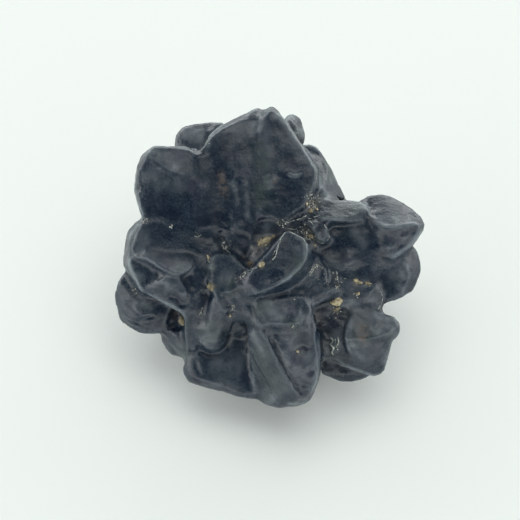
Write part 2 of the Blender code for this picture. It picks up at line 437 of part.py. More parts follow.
def pit_cutter(collection):
    """A ball that leaves the round pit in the face of the prow."""
    lean = Matrix.Rotation(FACE_LEAN, 4, "X")
    lift = Matrix.Translation((CENTRE_SHIFT[0], CENTRE_SHIFT[1], REST_HEIGHT))
    place = lift @ lean @ Matrix.Translation(PIT_CENTRE)
    bm = bmesh.new()
    bmesh.ops.create_icosphere(bm, subdivisions=2, radius=PIT_RADIUS, matrix=place)
    bmesh.ops.scale(bm, vec=(MM, MM, MM), verts=bm.verts)
    return new_cutter("pit_cutter", bm, collection)


def stone_material():
    material = bpy.data.materials.new("iron_oxide")
    material.use_nodes = True
    shader = material.node_tree.nodes["Principled BSDF"]
    shader.inputs["Base Color"].default_value = (0.016, 0.017, 0.022, 1.0)
    shader.inputs["Roughness"].default_value = 0.4
    shader.inputs["Metallic"].default_value = 0.0
    return material


def main():
    clear_scene()
    collection = bpy.data.collections.new("prophecy_stone")
    cutters = bpy.data.collections.new("cutters")
    bpy.context.scene.collection.children.link(collection)
    bpy.context.scene.collection.children.link(cutters)
    stone = make_stone(collection, pit_cutter(cutters), VOXEL)
    facets = stone.modifiers.new("facets", "DECIMATE")
    facets.ratio = FACET_SHARE
    add_cut(stone, "flat feet", ground_cutter(cutters))
    stone.data.materials.append(stone_material())
    stone.data.shade_smooth()


main()
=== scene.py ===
# %% [markdown]
# # A prophecy stone
#
# This stone is a fist of blunt crystals that grew out from one centre in mud. They were iron sulphide, and
# weathering turned them to goethite and haematite without changing their shape. Desert wind and sand then rubbed
# the skin until it looks waxed. One piece of stone is one mesh, so the lesson is how to get many crystals, the
# hollows between them and the worn skin into a single closed surface. The stone rests in a frame that is already
# measured, so the first cell loads it and keeps its box.

# %% Load the measured frame
import math
import random

import bmesh
import bpy
import numpy as np
from mathutils import Matrix, Vector
from mathutils.bvhtree import BVHTree
from mathutils.noise import noise as noise_at


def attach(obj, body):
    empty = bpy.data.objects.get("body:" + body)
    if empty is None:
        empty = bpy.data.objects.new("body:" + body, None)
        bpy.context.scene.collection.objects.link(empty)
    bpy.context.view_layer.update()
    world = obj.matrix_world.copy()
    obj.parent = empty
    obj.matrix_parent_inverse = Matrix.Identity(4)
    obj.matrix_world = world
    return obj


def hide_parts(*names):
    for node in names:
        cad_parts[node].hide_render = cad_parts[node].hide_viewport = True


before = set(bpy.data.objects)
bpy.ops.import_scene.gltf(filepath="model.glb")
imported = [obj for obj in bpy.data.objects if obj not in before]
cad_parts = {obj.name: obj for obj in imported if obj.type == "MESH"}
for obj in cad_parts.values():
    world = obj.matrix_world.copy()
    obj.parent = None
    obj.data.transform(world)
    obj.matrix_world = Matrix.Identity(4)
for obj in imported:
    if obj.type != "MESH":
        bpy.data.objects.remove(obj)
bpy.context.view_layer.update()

MM = 0.001

# %% [markdown]
# ## Where a point is
#
# The good face was measured square on, in millimetres: x to the right, y up the face, z out of it. The stone lies
# on its feet with that face leaning back, so one matrix carries every measured point to where it is on the table.
# Its inverse is just as useful: it tells for any point of the finished skin where it is on the face.

# %% From the face to the table
FACE_LEAN = math.radians(30.0)
REST_HEIGHT = 17.0
CENTRE_SHIFT = (0.20, 0.37)

lift = Matrix.Translation((CENTRE_SHIFT[0], CENTRE_SHIFT[1], REST_HEIGHT))
face_to_table = lift @ Matrix.Rotation(FACE_LEAN, 4, "X")
table_to_face = face_to_table.inverted()
print("middle of the stone, mm:", tuple(face_to_table.translation))

# %% [markdown]
# ## The crystals
#
# Each crystal is a block with a few flat faces, and the plainest way to write one down is by its corners: the hull
# of the corners is the crystal. Blocks that overlap are no trouble, because they are fused later. The back and the
# underside have crystals too, each given by its tip, its half width, its length from shoulder to tip and its roll.

# %% Corners of the crystals on the good face
FACE_CRYSTALS = {
    "crown_plate": [
        (0.0, 21.8, 7.2), (1.8, 20.4, 7.6), (4.9, 15.8, 8.4), (6.9, 12.9, 8.7), (6.2, 10.2, 9.1),
        (4.9, 7.4, 9.2), (1.6, 5.5, 9.2), (-0.6, 7.5, 9.2), (-0.9, 14.5, 8.4), (-0.9, 20.0, 7.3),
        (0.0, 22.7, 3.6), (1.1, 21.9, 4.0), (2.2, 20.2, 3.2), (5.3, 15.4, 4.0), (7.1, 13.2, 4.5),
        (6.8, 10.4, 5.0), (-3.2, 19.2, 5.3), (-3.8, 13.8, 6.9), (-3.6, 6.5, 8.3), (6.6, 13.2, -1.0),
        (2.0, 20.0, -1.5), (6.0, 9.0, 0.0), (-1.0, 15.0, -5.0), (0.0, 7.0, -3.0),
    ],
    "crown_flank": [
        (-1.7, 22.4, 4.4), (-3.0, 21.8, 4.2), (-1.4, 20.6, 6.1), (-2.4, 19.4, 6.1), (-2.0, 14.0, 7.2),
        (-1.6, 7.0, 8.9), (-4.6, 20.7, 4.9), (-7.0, 19.8, 5.1), (-9.0, 18.4, 5.9), (-10.1, 16.3, 7.0),
        (-7.6, 12.0, 5.6), (-6.4, 8.0, 7.0), (-4.8, 3.8, 8.0), (-2.6, 3.2, 8.6), (-9.2, 15.9, 7.2),
        (-6.9, 19.0, 7.1), (-4.6, 19.9, 6.7), (-5.8, 13.0, 6.9), (-8.9, 17.7, 7.4), (-9.0, 16.0, -3.0),
        (-3.0, 20.5, -2.5), (-6.0, 6.0, -3.0), (0.0, 9.0, -3.0), (0.0, 18.0, -3.0),
    ],
    "left_block": [
        (-18.5, 15.1, 7.4), (-16.6, 13.9, 8.4), (-14.8, 12.7, 9.0), (-13.0, 12.2, 9.2),
        (-11.4, 12.8, 8.7), (-19.8, 12.5, 7.1), (-19.9, 9.6, 7.2), (-19.3, 7.7, 7.6), (-12.0, 7.6, 8.5),
        (-9.0, 8.4, 8.0), (-18.9, 5.7, 7.6), (-14.6, 5.0, 8.1), (-10.4, 4.2, 8.3), (-7.6, 4.6, 7.8),
        (-17.4, 16.3, 7.0), (-14.4, 16.4, 7.4), (-12.4, 16.2, 7.6), (-11.2, 15.6, 7.6),
        (-19.8, 13.7, 5.4), (-20.0, 11.0, 5.4), (-20.2, 9.8, 5.4), (-19.5, 7.2, 6.6),
        (-19.3, 15.2, 3.0), (-17.0, 16.6, 0.4), (-12.5, 16.6, 0.4), (-20.0, 13.0, 0.5),
        (-20.0, 9.0, 0.0), (-18.5, 9.0, -4.0), (-9.0, 6.0, -4.0), (-9.0, 14.0, -4.0),
    ],
    "shoulder_table": [
        (-20.6, 2.9, 6.0), (-19.2, 4.8, 6.9), (-17.4, 4.6, 7.6), (-14.6, 3.8, 8.0), (-10.4, 3.0, 8.1),
        (-7.6, 1.9, 8.0), (-20.9, 0.4, 6.6), (-18.4, 0.0, 7.5), (-14.6, -1.0, 8.1), (-10.4, -1.0, 8.1),
        (-9.4, 0.6, 8.2), (-21.9, 1.0, 2.6), (-21.4, 3.9, 2.6), (-22.0, -1.0, 2.2), (-19.9, 5.5, 3.8),
        (-17.4, 5.2, 6.6), (-10.0, 3.6, 6.6), (-7.2, 2.4, 6.4), (-20.0, 3.0, -2.0), (-9.0, 2.0, -3.0),
        (-20.0, -2.0, -2.0), (-9.0, -3.0, -3.0),
    ],
    "shoulder_lip": [
        (-20.6, 1.2, 6.5), (-20.5, 0.0, 6.9), (-18.4, -0.1, 8.2), (-17.0, -0.8, 9.1),
        (-16.0, -1.4, 9.7), (-15.0, -2.1, 10.1), (-13.9, -2.6, 10.4), (-12.8, -2.3, 10.3),
        (-11.5, -1.4, 9.8), (-18.5, 1.4, 7.6), (-13.5, 0.4, 8.7), (-11.8, 0.2, 8.6), (-21.3, 0.6, 3.4),
        (-18.2, -0.4, 6.0), (-16.0, -1.8, 7.4), (-14.0, -2.9, 8.0), (-12.0, -1.8, 7.8),
        (-12.0, 1.0, 3.0), (-18.0, 2.0, 2.0),
    ],
    "shoulder_hollow": [
        (-21.0, -0.2, 6.4), (-20.7, -1.6, 6.9), (-20.0, -3.4, 6.9), (-19.2, -4.9, 6.6),
        (-17.0, -2.2, 7.3), (-17.4, -4.8, 7.0), (-15.6, -2.9, 7.7), (-19.4, -0.6, 6.9),
        (-16.6, -6.0, 6.8), (-12.4, -1.4, 8.4), (-21.9, 0.2, 2.8), (-22.0, -1.2, 2.6),
        (-21.3, -2.4, 2.6), (-19.4, -5.1, 3.4), (-15.8, -5.8, 3.6), (-12.0, -6.0, -3.0),
        (-20.0, 0.0, -2.0), (-11.0, 0.0, 0.0),
    ],
    "shoulder_face": [
        (-18.8, -5.1, 6.4), (-16.6, -6.1, 7.2), (-14.6, -7.1, 7.6), (-13.0, -8.2, 7.7),
        (-11.8, -7.6, 7.7), (-12.4, -5.0, 8.8), (-13.4, -3.3, 9.7), (-15.2, -3.1, 9.5),
        (-17.0, -3.7, 8.2), (-18.4, -4.7, 6.9), (-14.4, -6.7, 4.2), (-12.3, -8.8, 4.0),
        (-12.0, -6.0, -3.0), (-16.0, -4.0, 0.0),
    ],
    "shoulder_rib": [
        (-12.9, -8.3, 7.3), (-11.5, -7.8, 8.0), (-12.7, -11.0, 5.4), (-11.5, -11.0, 5.7),
        (-12.5, -14.2, 3.0), (-11.6, -14.0, 3.2), (-12.7, -8.0, 1.0), (-12.4, -14.0, -1.0),
        (-10.8, -14.0, -1.0), (-10.8, -8.0, 1.0),
    ],
    "left_low_block": [
        (-23.4, -5.7, 0.4), (-22.9, -4.0, 1.5), (-22.2, -2.4, 1.8), (-23.0, -8.6, -0.4),
        (-22.4, -9.6, -0.2), (-21.2, -10.6, 0.2), (-19.5, -11.3, 0.4), (-16.4, -11.3, 0.8),
        (-21.6, -4.3, 2.1), (-22.2, -7.4, 1.0), (-21.4, -8.5, 0.9), (-20.3, -9.2, 1.2),
        (-18.8, -9.0, 1.8), (-15.5, -9.2, 1.9), (-14.5, -7.0, 2.2), (-19.5, -3.5, 3.0),
        (-19.0, -5.0, -7.0), (-12.0, -6.0, -6.0), (-14.0, -10.0, -7.0), (-17.0, -2.0, -6.0),
        (-20.5, -9.0, -6.0),
    ],
    "left_low_knuckle": [
        (-16.3, -11.2, -2.0), (-16.3, -12.4, -2.1), (-15.8, -13.6, -2.4), (-15.0, -14.5, -2.0),
        (-13.9, -15.0, -1.2), (-15.5, -12.6, 0.2), (-14.7, -11.2, 2.0), (-14.2, -13.4, 1.4),
        (-12.6, -11.0, 2.6), (-12.4, -14.6, 1.8), (-14.5, -12.0, -7.0), (-10.0, -12.0, -6.0),
        (-14.5, -9.0, -4.0),
    ],
    "foot_plate": [
        (-12.4, -14.6, 1.9), (-13.2, -16.5, 1.0), (-12.9, -17.6, 0.6), (-12.3, -18.7, 0.4),
        (-11.3, -19.0, 1.0), (-11.8, -17.9, 1.8), (-10.9, -14.4, 2.8), (-6.4, -12.8, 3.5),
        (-3.0, -12.4, 3.9), (-2.6, -19.0, 3.3), (-2.8, -21.0, 2.7), (-4.2, -20.6, 2.6),
        (-6.0, -19.3, 2.8), (-9.3, -18.6, 2.5), (-2.2, -21.4, 2.2), (-11.0, -17.0, -7.0),
        (-4.0, -18.5, -7.0), (-3.0, -12.0, -7.0), (-10.0, -12.0, -7.0),
    ],
    "toe": [
        (-10.9, -11.0, 6.4), (-10.5, -12.8, 5.2), (-9.2, -13.8, 4.6), (-7.8, -13.7, 4.6),
        (-6.9, -12.9, 5.0), (-6.7, -11.6, 6.2), (-9.6, -12.0, 7.2), (-8.0, -12.0, 7.4),
        (-10.1, -9.0, 8.0), (-9.0, -9.4, 8.7), (-9.3, -6.5, 9.0), (-8.2, -5.4, 10.2), (-7.0, -8.3, 9.6),
        (-7.1, -10.2, 8.3), (-5.4, -8.4, 8.8), (-4.8, -6.5, 10.0), (-8.0, -8.0, 0.0),
        (-6.0, -10.0, 0.0), (-8.0, -4.0, 2.0),
    ],
    "prow_side": [
        (-1.4, -10.7, 11.0), (-0.6, -11.6, 10.8), (0.3, -13.6, 10.2), (1.4, -16.0, 9.5),
        (2.5, -17.8, 8.9), (3.5, -19.6, 8.0), (4.6, -20.9, 7.1), (3.4, -21.6, 5.4), (1.4, -22.6, 2.8),
        (0.0, -22.2, 2.2), (-1.0, -22.0, 1.6), (-1.9, -21.4, 1.4), (-3.4, -10.4, 8.4),
        (-3.4, -12.0, 7.4), (-2.6, -15.0, 5.8), (-2.3, -19.0, 3.2), (0.0, -8.0, 0.0),
        (4.0, -18.0, -3.0), (0.0, -18.0, -4.0), (4.0, -21.8, 2.0), (0.0, -9.0, 9.0),
    ],
    "prow_face": [
        (-0.6, -10.6, 10.2), (0.6, -13.4, 9.6), (1.8, -16.0, 8.9), (2.9, -17.8, 8.3), (4.0, -19.6, 7.4),
        (4.8, -20.6, 6.8), (5.8, -20.0, 7.1), (6.6, -17.4, 8.3), (6.8, -14.5, 9.1), (6.5, -11.6, 9.8),
        (3.0, -10.2, 10.6), (7.3, -11.2, 7.8), (7.5, -14.5, 6.4), (7.4, -16.7, 5.6), (7.1, -18.6, 4.8),
        (6.6, -20.2, 4.2), (5.9, -21.3, 3.8), (4.5, -22.0, 3.6), (3.0, -22.3, 3.2), (6.0, -10.0, 0.0),
        (5.0, -18.0, -3.0), (7.2, -15.0, 1.0), (5.5, -20.0, -1.0), (1.5, -20.5, 2.0), (0.0, -10.0, 2.0),
    ],
    "knuckle": [
        (-3.5, -9.6, 9.4), (-3.4, -8.0, 9.8), (-2.4, -6.3, 10.6), (0.0, -6.0, 11.2), (3.4, -5.6, 10.8),
        (5.0, -6.1, 10.2), (6.2, -8.0, 9.6), (6.9, -10.6, 9.3), (6.5, -11.6, 9.6), (3.5, -9.4, 11.6),
        (0.0, -9.5, 11.8), (-1.6, -10.2, 11.0), (0.0, -6.0, 2.0), (5.0, -8.0, 2.0), (0.0, -10.0, 2.0),
    ],
    "hole_rim": [
        (4.6, -6.4, 9.8), (5.2, -5.2, 9.4), (7.0, -4.6, 8.8), (9.5, -4.4, 8.0), (10.4, -5.0, 7.4),
        (9.0, -5.9, 7.6), (7.0, -6.3, 8.6), (6.3, -7.2, 9.0), (6.0, -4.0, 2.0), (10.0, -4.0, 1.0),
        (8.0, -5.8, 1.0),
    ],
    "petal": [
        (2.4, 4.1, 11.8), (3.6, 3.7, 12.3), (4.8, 2.8, 12.7), (5.4, 1.4, 12.9), (5.2, 0.0, 12.9),
        (4.2, -1.5, 13.3), (2.5, -3.0, 13.5), (0.5, -4.2, 13.5), (-1.6, -5.3, 12.9), (1.2, 2.2, 12.2),
        (0.7, 0.0, 12.5), (-1.0, -1.4, 12.6), (-3.5, -2.6, 12.2), (-4.6, -4.2, 11.6),
        (-4.0, -5.6, 11.2), (6.0, 1.2, 9.6), (6.1, -0.4, 9.8), (5.5, -1.8, 10.0), (3.8, -3.4, 10.4),
        (1.4, -4.9, 10.8), (-1.5, -5.9, 10.8), (0.5, 0.0, 8.0), (1.2, 2.6, 8.0), (2.0, 2.0, 3.0),
        (3.0, -3.0, 3.0), (-3.0, -4.0, 4.0),
    ],
    "crevice_lump": [
        (-2.9, 0.6, 9.0), (-2.7, 1.8, 8.8), (-1.0, 3.1, 8.6), (0.7, 2.9, 8.8), (0.7, 1.0, 9.4),
        (-0.5, -0.5, 10.0), (-2.5, -0.8, 10.0), (-1.0, 1.2, 9.9), (-3.6, -0.8, 9.0), (-2.0, 0.0, 2.0),
        (1.0, 2.0, 2.0),
    ],
    "crown_root": [
        (-5.6, 4.6, 6.8), (-3.0, 3.4, 8.0), (0.0, 4.4, 8.6), (2.4, 5.6, 9.0), (2.6, 4.0, 8.6),
        (0.8, 2.6, 8.2), (-3.0, 2.0, 7.9), (-6.4, 2.4, 7.4), (-3.0, 4.0, 0.0), (2.0, 4.0, 0.0),
    ],
    "middle_saddle": [
        (-13.0, -2.8, 8.4), (-9.4, -1.6, 7.8), (-9.0, -4.0, 7.6), (-9.2, -7.0, 7.2), (-10.4, -8.4, 6.5),
        (-12.4, -8.0, 6.8), (-12.8, -5.0, 7.9), (-11.0, -4.6, 7.4), (-11.0, -5.0, 0.0),
        (-10.0, -2.0, 0.0),
    ],
    "toe_recess": [
        (-7.2, -9.4, 4.2), (-3.6, -9.2, 4.5), (-3.2, -13.4, 3.8), (-6.8, -13.8, 3.4),
        (-6.0, -10.0, 0.0), (-4.0, -12.0, 0.0),
    ],
    "rib_root": [
        (-15.6, -7.6, 0.9), (-12.6, -8.4, 1.4), (-12.4, -10.8, 1.3), (-14.6, -11.0, 0.9),
        (-13.4, -9.6, 1.2), (-14.0, -9.0, -3.0), (-12.0, -10.0, -3.0),
    ],
    "petal_root": [
        (2.6, -5.4, 9.8), (4.4, -6.0, 9.8), (6.0, -5.0, 8.8), (8.6, -4.2, 8.2), (8.4, -2.0, 8.1),
        (6.8, 0.6, 8.0), (5.6, -1.0, 9.0), (3.0, -3.6, 9.8), (5.0, -3.0, 0.0), (8.0, -2.0, 0.0),
    ],
    "grit_shelf": [
        (8.8, -3.4, 7.4), (12.8, -3.2, 6.4), (13.2, -6.2, 6.4), (12.4, -7.4, 6.2), (10.6, -7.6, 6.4),
        (9.2, -7.0, 6.8), (9.0, -5.4, 7.4), (10.8, -5.4, 6.9), (10.0, -5.0, 0.0), (12.0, -6.0, 0.0),
    ],
    "left_middle": [
        (-9.8, -2.5, 8.4), (-9.6, -0.2, 8.2), (-8.2, 0.4, 9.1), (-5.6, 0.3, 10.1), (-3.6, -1.6, 11.1),
        (-4.2, -4.2, 11.2), (-6.0, -5.4, 11.0), (-8.6, -5.2, 10.0), (-8.0, -3.0, 2.0),
        (-4.0, -1.0, 2.0), (-6.0, 1.2, 6.0), (-9.0, 1.0, 5.0),
    ],
    "crown_saddle": [
        (-12.0, 14.4, 8.0), (-10.6, 15.4, 7.6), (-8.6, 15.2, 7.3), (-7.0, 12.0, 7.1), (-6.0, 8.0, 7.2),
        (-8.6, 6.6, 7.3), (-10.6, 6.8, 7.6), (-12.0, 9.0, 8.3), (-12.4, 12.0, 8.3), (-9.8, 11.3, 7.8),
        (-10.0, 10.0, 0.0), (-8.0, 8.0, 0.0), (-10.0, 14.0, 0.0),
    ],
    "flank_root": [
        (-9.6, 7.2, 7.5), (-7.2, 8.4, 7.3), (-5.4, 6.6, 7.5), (-5.4, 4.4, 7.6), (-8.2, 3.8, 7.5),
        (-10.6, 4.6, 7.7), (-7.6, 6.0, 7.3), (-8.0, 6.0, 0.0), (-6.0, 5.0, 0.0),
    ],
    "petal_foot": [
        (-5.4, -5.4, 10.4), (-2.4, -5.8, 10.8), (-2.2, -7.6, 10.2), (-4.0, -6.8, 9.9),
        (-5.0, -8.6, 8.8), (-3.4, -9.6, 8.8), (-4.0, -6.0, 2.0), (-3.0, -9.0, 2.0),
    ],
    "toe_side": [
        (-12.4, -11.8, 4.8), (-10.4, -11.6, 5.4), (-10.2, -13.6, 4.0), (-12.4, -14.2, 3.4),
        (-11.2, -12.8, 4.4), (-11.0, -13.0, -2.0), (-12.0, -12.0, -2.0),
    ],
    "right_notch": [
        (13.8, -1.0, 6.4), (16.4, -0.4, 5.4), (16.8, -3.0, 5.2), (15.6, -4.4, 5.8), (13.6, -3.6, 6.3),
        (15.2, -2.2, 5.6), (14.0, -2.0, 0.0), (16.0, -3.0, 0.0),
    ],
    "hole_floor": [
        (6.6, -6.8, 6.4), (8.6, -6.4, 6.4), (11.0, -7.4, 5.6), (11.6, -9.2, 5.0), (11.4, -11.8, 4.4),
        (9.2, -12.0, 4.2), (7.0, -11.8, 4.9), (6.8, -9.2, 5.2), (9.2, -9.4, 4.7), (8.0, -8.0, -3.0),
        (10.0, -11.0, -3.0),
    ],
    "saddle": [
        (6.0, 5.6, 8.6), (7.4, 8.4, 6.0), (9.4, 8.5, 5.4), (11.3, 8.6, 4.9), (13.2, 8.4, 4.9),
        (14.4, 7.8, 5.4), (15.0, 6.7, 6.1), (14.6, 5.6, 6.8), (12.6, 5.9, 7.6), (11.2, 5.4, 8.4),
        (9.0, 5.6, 8.8), (8.0, 3.0, 0.0), (13.0, 3.0, 0.0),
    ],
    "right_block": [
        (15.1, 6.6, 6.0), (15.0, 5.6, 7.2), (15.8, 4.8, 7.8), (17.2, 4.3, 8.2), (18.7, 4.5, 8.0),
        (20.5, 4.7, 7.4), (22.3, 4.5, 6.4), (23.0, 5.0, 5.2), (22.5, 6.0, 4.6), (21.3, 7.0, 4.0),
        (20.0, 8.1, 3.5), (18.0, 9.1, 3.0), (16.3, 9.5, 3.1), (14.4, 9.1, 3.4), (13.2, 8.5, 3.8),
        (22.9, 4.2, 4.4), (22.3, 3.5, 4.2), (21.5, 2.5, 4.4), (20.8, 1.7, 4.8), (20.0, 1.3, 6.0),
        (19.7, 0.6, 5.4), (18.2, -0.4, 5.8), (16.6, 0.0, 6.4), (21.5, 5.0, -1.0), (18.0, 7.5, -4.0),
        (19.0, 1.5, -3.0), (11.0, 4.0, -4.0),
    ],
    "right_low_block": [
        (21.4, 1.6, 2.8), (22.0, 0.5, 2.8), (22.4, -0.9, 2.7), (22.4, -2.1, 2.7), (21.9, -3.6, 2.9),
        (21.1, -5.2, 3.0), (20.0, -0.4, 4.8), (20.3, -3.8, 4.6), (19.5, -6.0, 4.2), (17.0, -6.9, 4.8),
        (16.2, -3.0, 5.4), (16.4, 0.0, 5.4), (20.0, -1.0, -6.0), (17.0, -4.5, -5.0), (10.0, -2.0, -4.0),
    ],
    "right_hollow": [
        (8.6, 4.6, 5.4), (12.0, 5.0, 6.6), (15.2, 4.6, 6.8), (17.0, 2.5, 6.4), (16.4, -0.8, 5.4),
        (13.6, -3.0, 6.0), (10.8, -3.6, 6.4), (8.4, -2.6, 6.6), (7.4, 0.5, 6.2), (11.6, -0.4, 7.2),
        (8.0, 0.0, 0.0), (14.0, 0.0, 0.0),
    ],
    "right_wedge": [
        (12.5, -4.0, 6.4), (13.6, -4.0, 6.8), (15.4, -4.1, 6.4), (16.2, -4.8, 5.8), (16.6, -6.2, 5.0),
        (16.3, -7.9, 4.0), (13.6, -6.8, 6.6), (12.6, -5.6, 6.7), (11.0, -5.0, 0.0), (15.0, -7.0, -2.0),
        (14.0, -3.0, 0.0),
    ],
    "star_block": [
        (13.4, -7.3, 6.2), (12.3, -8.4, 6.6), (11.3, -10.2, 7.1), (11.0, -12.0, 7.3), (14.6, -7.4, 6.2),
        (16.3, -8.0, 6.2), (18.3, -8.8, 6.1), (19.2, -9.9, 5.8), (19.3, -11.0, 5.4), (18.8, -12.0, 4.4),
        (15.0, -12.0, 7.9), (17.4, -11.3, 7.1), (12.6, -13.0, 6.6), (16.4, -12.6, 4.6),
        (18.0, -11.0, -3.0), (15.0, -12.0, -4.0), (11.0, -10.0, -5.0), (14.0, -8.0, -2.0),
    ],
    "star_lower_arm": [
        (11.0, -11.6, 7.2), (11.3, -13.5, 6.5), (12.2, -14.9, 5.6), (13.2, -17.0, 2.9),
        (12.0, -16.7, 3.1), (11.4, -15.6, 4.4), (15.0, -12.2, 7.3), (16.8, -11.8, 6.0),
        (18.2, -12.9, 4.0), (17.4, -15.0, 3.2), (17.1, -16.8, 2.3), (16.5, -17.5, 1.7),
        (15.4, -17.8, 1.7), (16.4, -14.6, 4.6), (11.0, -15.0, -4.0), (15.0, -16.0, -4.0),
        (11.0, -10.0, -5.0), (16.0, -13.0, -3.0),
    ],
    "star_web": [
        (12.6, -16.6, 3.4), (12.0, -13.8, 5.4), (11.0, -11.4, 5.6), (10.0, -12.6, 4.6),
        (10.4, -16.0, 3.2), (9.2, -15.5, 3.2), (7.6, -15.0, 3.4), (9.5, -14.4, 4.0), (9.0, -14.0, -2.0),
        (12.0, -15.0, -3.0), (14.0, -16.8, 2.2),
    ],
    "under_star": [
        (7.4, -15.0, -1.6), (9.0, -15.6, -1.6), (12.0, -16.8, -1.9), (15.0, -17.5, -2.0),
        (7.6, -17.6, -2.2), (9.2, -18.2, -2.8), (10.5, -18.8, -3.3), (12.0, -18.9, -3.4),
        (13.6, -18.6, -3.0), (15.3, -17.8, -2.2), (9.0, -13.0, -9.0), (14.0, -14.0, -8.0),
        (8.0, -10.0, -4.0),
    ],
    "hole_ledge": [
        (6.9, -12.0, 5.8), (9.2, -11.8, 5.4), (10.1, -12.4, 5.0), (9.9, -14.2, 4.5), (9.3, -14.8, 4.2),
        (7.2, -14.9, 4.4), (7.0, -12.0, -3.0), (10.0, -12.0, -3.0), (9.0, -14.5, -4.0),
    ],
    "back_knob": [
        (2.2, 20.8, -2.6), (2.9, 21.8, -4.0), (3.8, 21.7, -4.3), (4.6, 21.0, -4.3), (5.0, 19.6, -4.1),
        (5.2, 18.4, -3.7), (5.1, 17.3, -3.1), (3.2, 20.6, -2.1), (4.1, 19.0, -1.5), (2.0, 15.0, -8.0),
        (4.0, 13.0, -6.0), (-1.0, 18.0, -8.0), (1.0, 19.0, -2.0),
    ],
    "right_ridge": [
        (5.0, 17.0, 0.5), (6.0, 17.1, 0.3), (6.8, 16.8, 0.2), (7.4, 16.0, 0.5), (8.2, 15.0, 0.4),
        (8.8, 13.7, -0.7), (9.4, 11.9, -0.1), (10.2, 10.2, 0.5), (11.3, 8.6, 1.1), (8.0, 14.2, 1.4),
        (8.9, 11.0, 2.9), (7.4, 12.0, 3.3), (5.4, 15.8, 1.1), (7.8, 9.0, 5.1), (7.0, 13.0, -7.0),
        (9.0, 8.0, -7.0), (3.0, 8.0, -5.0), (3.0, 14.0, -4.0),
    ],
    "back_left_knob": [
        (-14.6, 16.6, -3.5), (-14.5, 17.6, -3.9), (-14.2, 18.7, -4.3), (-13.5, 19.7, -4.8),
        (-12.0, 20.3, -4.9), (-9.0, 20.5, -4.7), (-7.0, 20.4, -4.0), (-13.0, 17.8, -2.9),
        (-9.0, 18.4, -2.7), (-8.0, 16.0, -1.3), (-12.0, 15.5, -1.4), (-12.0, 16.0, -9.0),
        (-8.0, 17.0, -9.0), (-7.0, 12.0, -6.0),
    ],
    "flap": [
        (5.4, 5.5, 9.5), (6.6, 5.4, 9.4), (7.9, 4.9, 8.8), (8.6, 3.9, 8.2), (8.7, 3.0, 7.9),
        (8.1, 2.0, 7.7), (7.2, 2.2, 8.2), (6.6, 3.2, 8.9), (5.6, 4.6, 9.4), (6.6, 4.6, 5.0),
        (7.6, 3.4, 5.0),
    ],
    "grit_bed": [
        (5.5, 9.2, 6.0), (7.6, 8.6, 5.0), (8.4, 5.0, 6.4), (8.6, 2.4, 6.2), (6.0, 1.2, 7.4),
        (2.5, 4.2, 8.4), (5.0, 5.6, 8.4), (5.4, 8.0, 7.4), (5.0, 4.0, 0.0), (7.0, 7.0, 0.0),
    ],
}

# %% Crystals of the hidden sides
HIDDEN_CRYSTALS = {
    "back_upper_left": ((-11.0, 18.5, -1.0), 5.4, 5.0, 10.0),
    "back_upper_right": ((2.0, 20.0, -4.0), 5.8, 5.5, 35.0),
    "back_middle": ((-4.5, 19.5, -6.0), 4.6, 4.5, 60.0),
    "back_right": ((11.5, 12.0, -4.0), 5.2, 4.5, 70.0),
    "back_left_side": ((-18.5, 9.5, -6.5), 5.2, 5.0, 20.0),
    "back_low_left": ((-10.5, 14.5, -12.5), 5.8, 5.5, 50.0),
    "back_low_right": ((7.5, 14.5, -12.0), 5.6, 5.5, 15.0),
    "right_side": ((18.5, 4.5, -8.5), 5.4, 5.5, 40.0),
    "left_side": ((-19.0, -3.0, -10.5), 5.2, 5.5, 65.0),
    "right_low_side": ((14.5, -6.5, -13.0), 5.0, 5.0, 5.0),
    "front_low": ((0.5, -14.5, -13.5), 5.6, 5.0, 25.0),
    "under_left": ((-14.5, 3.0, -14.5), 5.4, 5.5, 30.0),
    "under_right": ((13.5, 3.5, -14.5), 5.4, 5.5, 55.0),
    "under_middle": ((1.0, -1.5, -16.0), 6.2, 4.5, 0.0),
}
FEET = {
    "foot_front_left": ((-8.5, -9.5, -18.0), 5.8, 6.5, 12.0),
    "foot_front_right": ((8.5, -9.0, -18.0), 5.4, 6.5, 48.0),
    "foot_back": ((-1.0, 9.0, -18.2), 6.2, 6.5, 80.0),
}
print(len(FACE_CRYSTALS), "crystals on the face,", len(HIDDEN_CRYSTALS) + len(FEET), "hidden ones")

# %% [markdown]
# ## From corners to shells
#
# The solid's own recipe is repeated here at a finer grain. `convex_hull` wraps each set of corners. A hidden crystal
# has no measured corners, so four rings of corners are laid along the line from the centre to its tip, the widest at
# the shoulder, with a seeded random shake that keeps them from looking turned on a lathe.

# %% Hulls around a core
CORE_CENTRE = (0.0, -1.5, -1.5)
CORE_RADII = (13.5, 12.5, 10.0)
SEED = 9


def add_hull(bm, corners, place):
    verts = [bm.verts.new(place @ Vector(corner)) for corner in corners]
    made = bmesh.ops.convex_hull(bm, input=verts)
    spare = set(made["geom_interior"]) | set(made["geom_unused"])
    bmesh.ops.delete(bm, geom=[g for g in spare if isinstance(g, bmesh.types.BMVert)], context="VERTS")


def knob_corners(tip, half_width, shoulder, roll, rng):
    axis = Vector(tip)
    length = axis.length
    out = axis.normalized()
    side = out.orthogonal().normalized()
    side.rotate(Matrix.Rotation(math.radians(roll), 3, out))
    up = out.cross(side)
    rings = [
        (length * 0.30, 0.80, 5),
        (length - shoulder, 1.00, 5),
        (length - 0.35 * shoulder, 0.72, 4),
        (length, 0.30, 3),
    ]
    corners = []
    for far, share, count in rings:
        for k in range(count):
            angle = 2 * math.pi * k / count + rng.uniform(-0.25, 0.25)
            reach = half_width * share * rng.uniform(0.85, 1.12)
            along = far + rng.uniform(-0.5, 0.3)
            corners.append(out * along + side * (reach * math.cos(angle)) + up * (0.85 * reach * math.sin(angle)))
    return corners


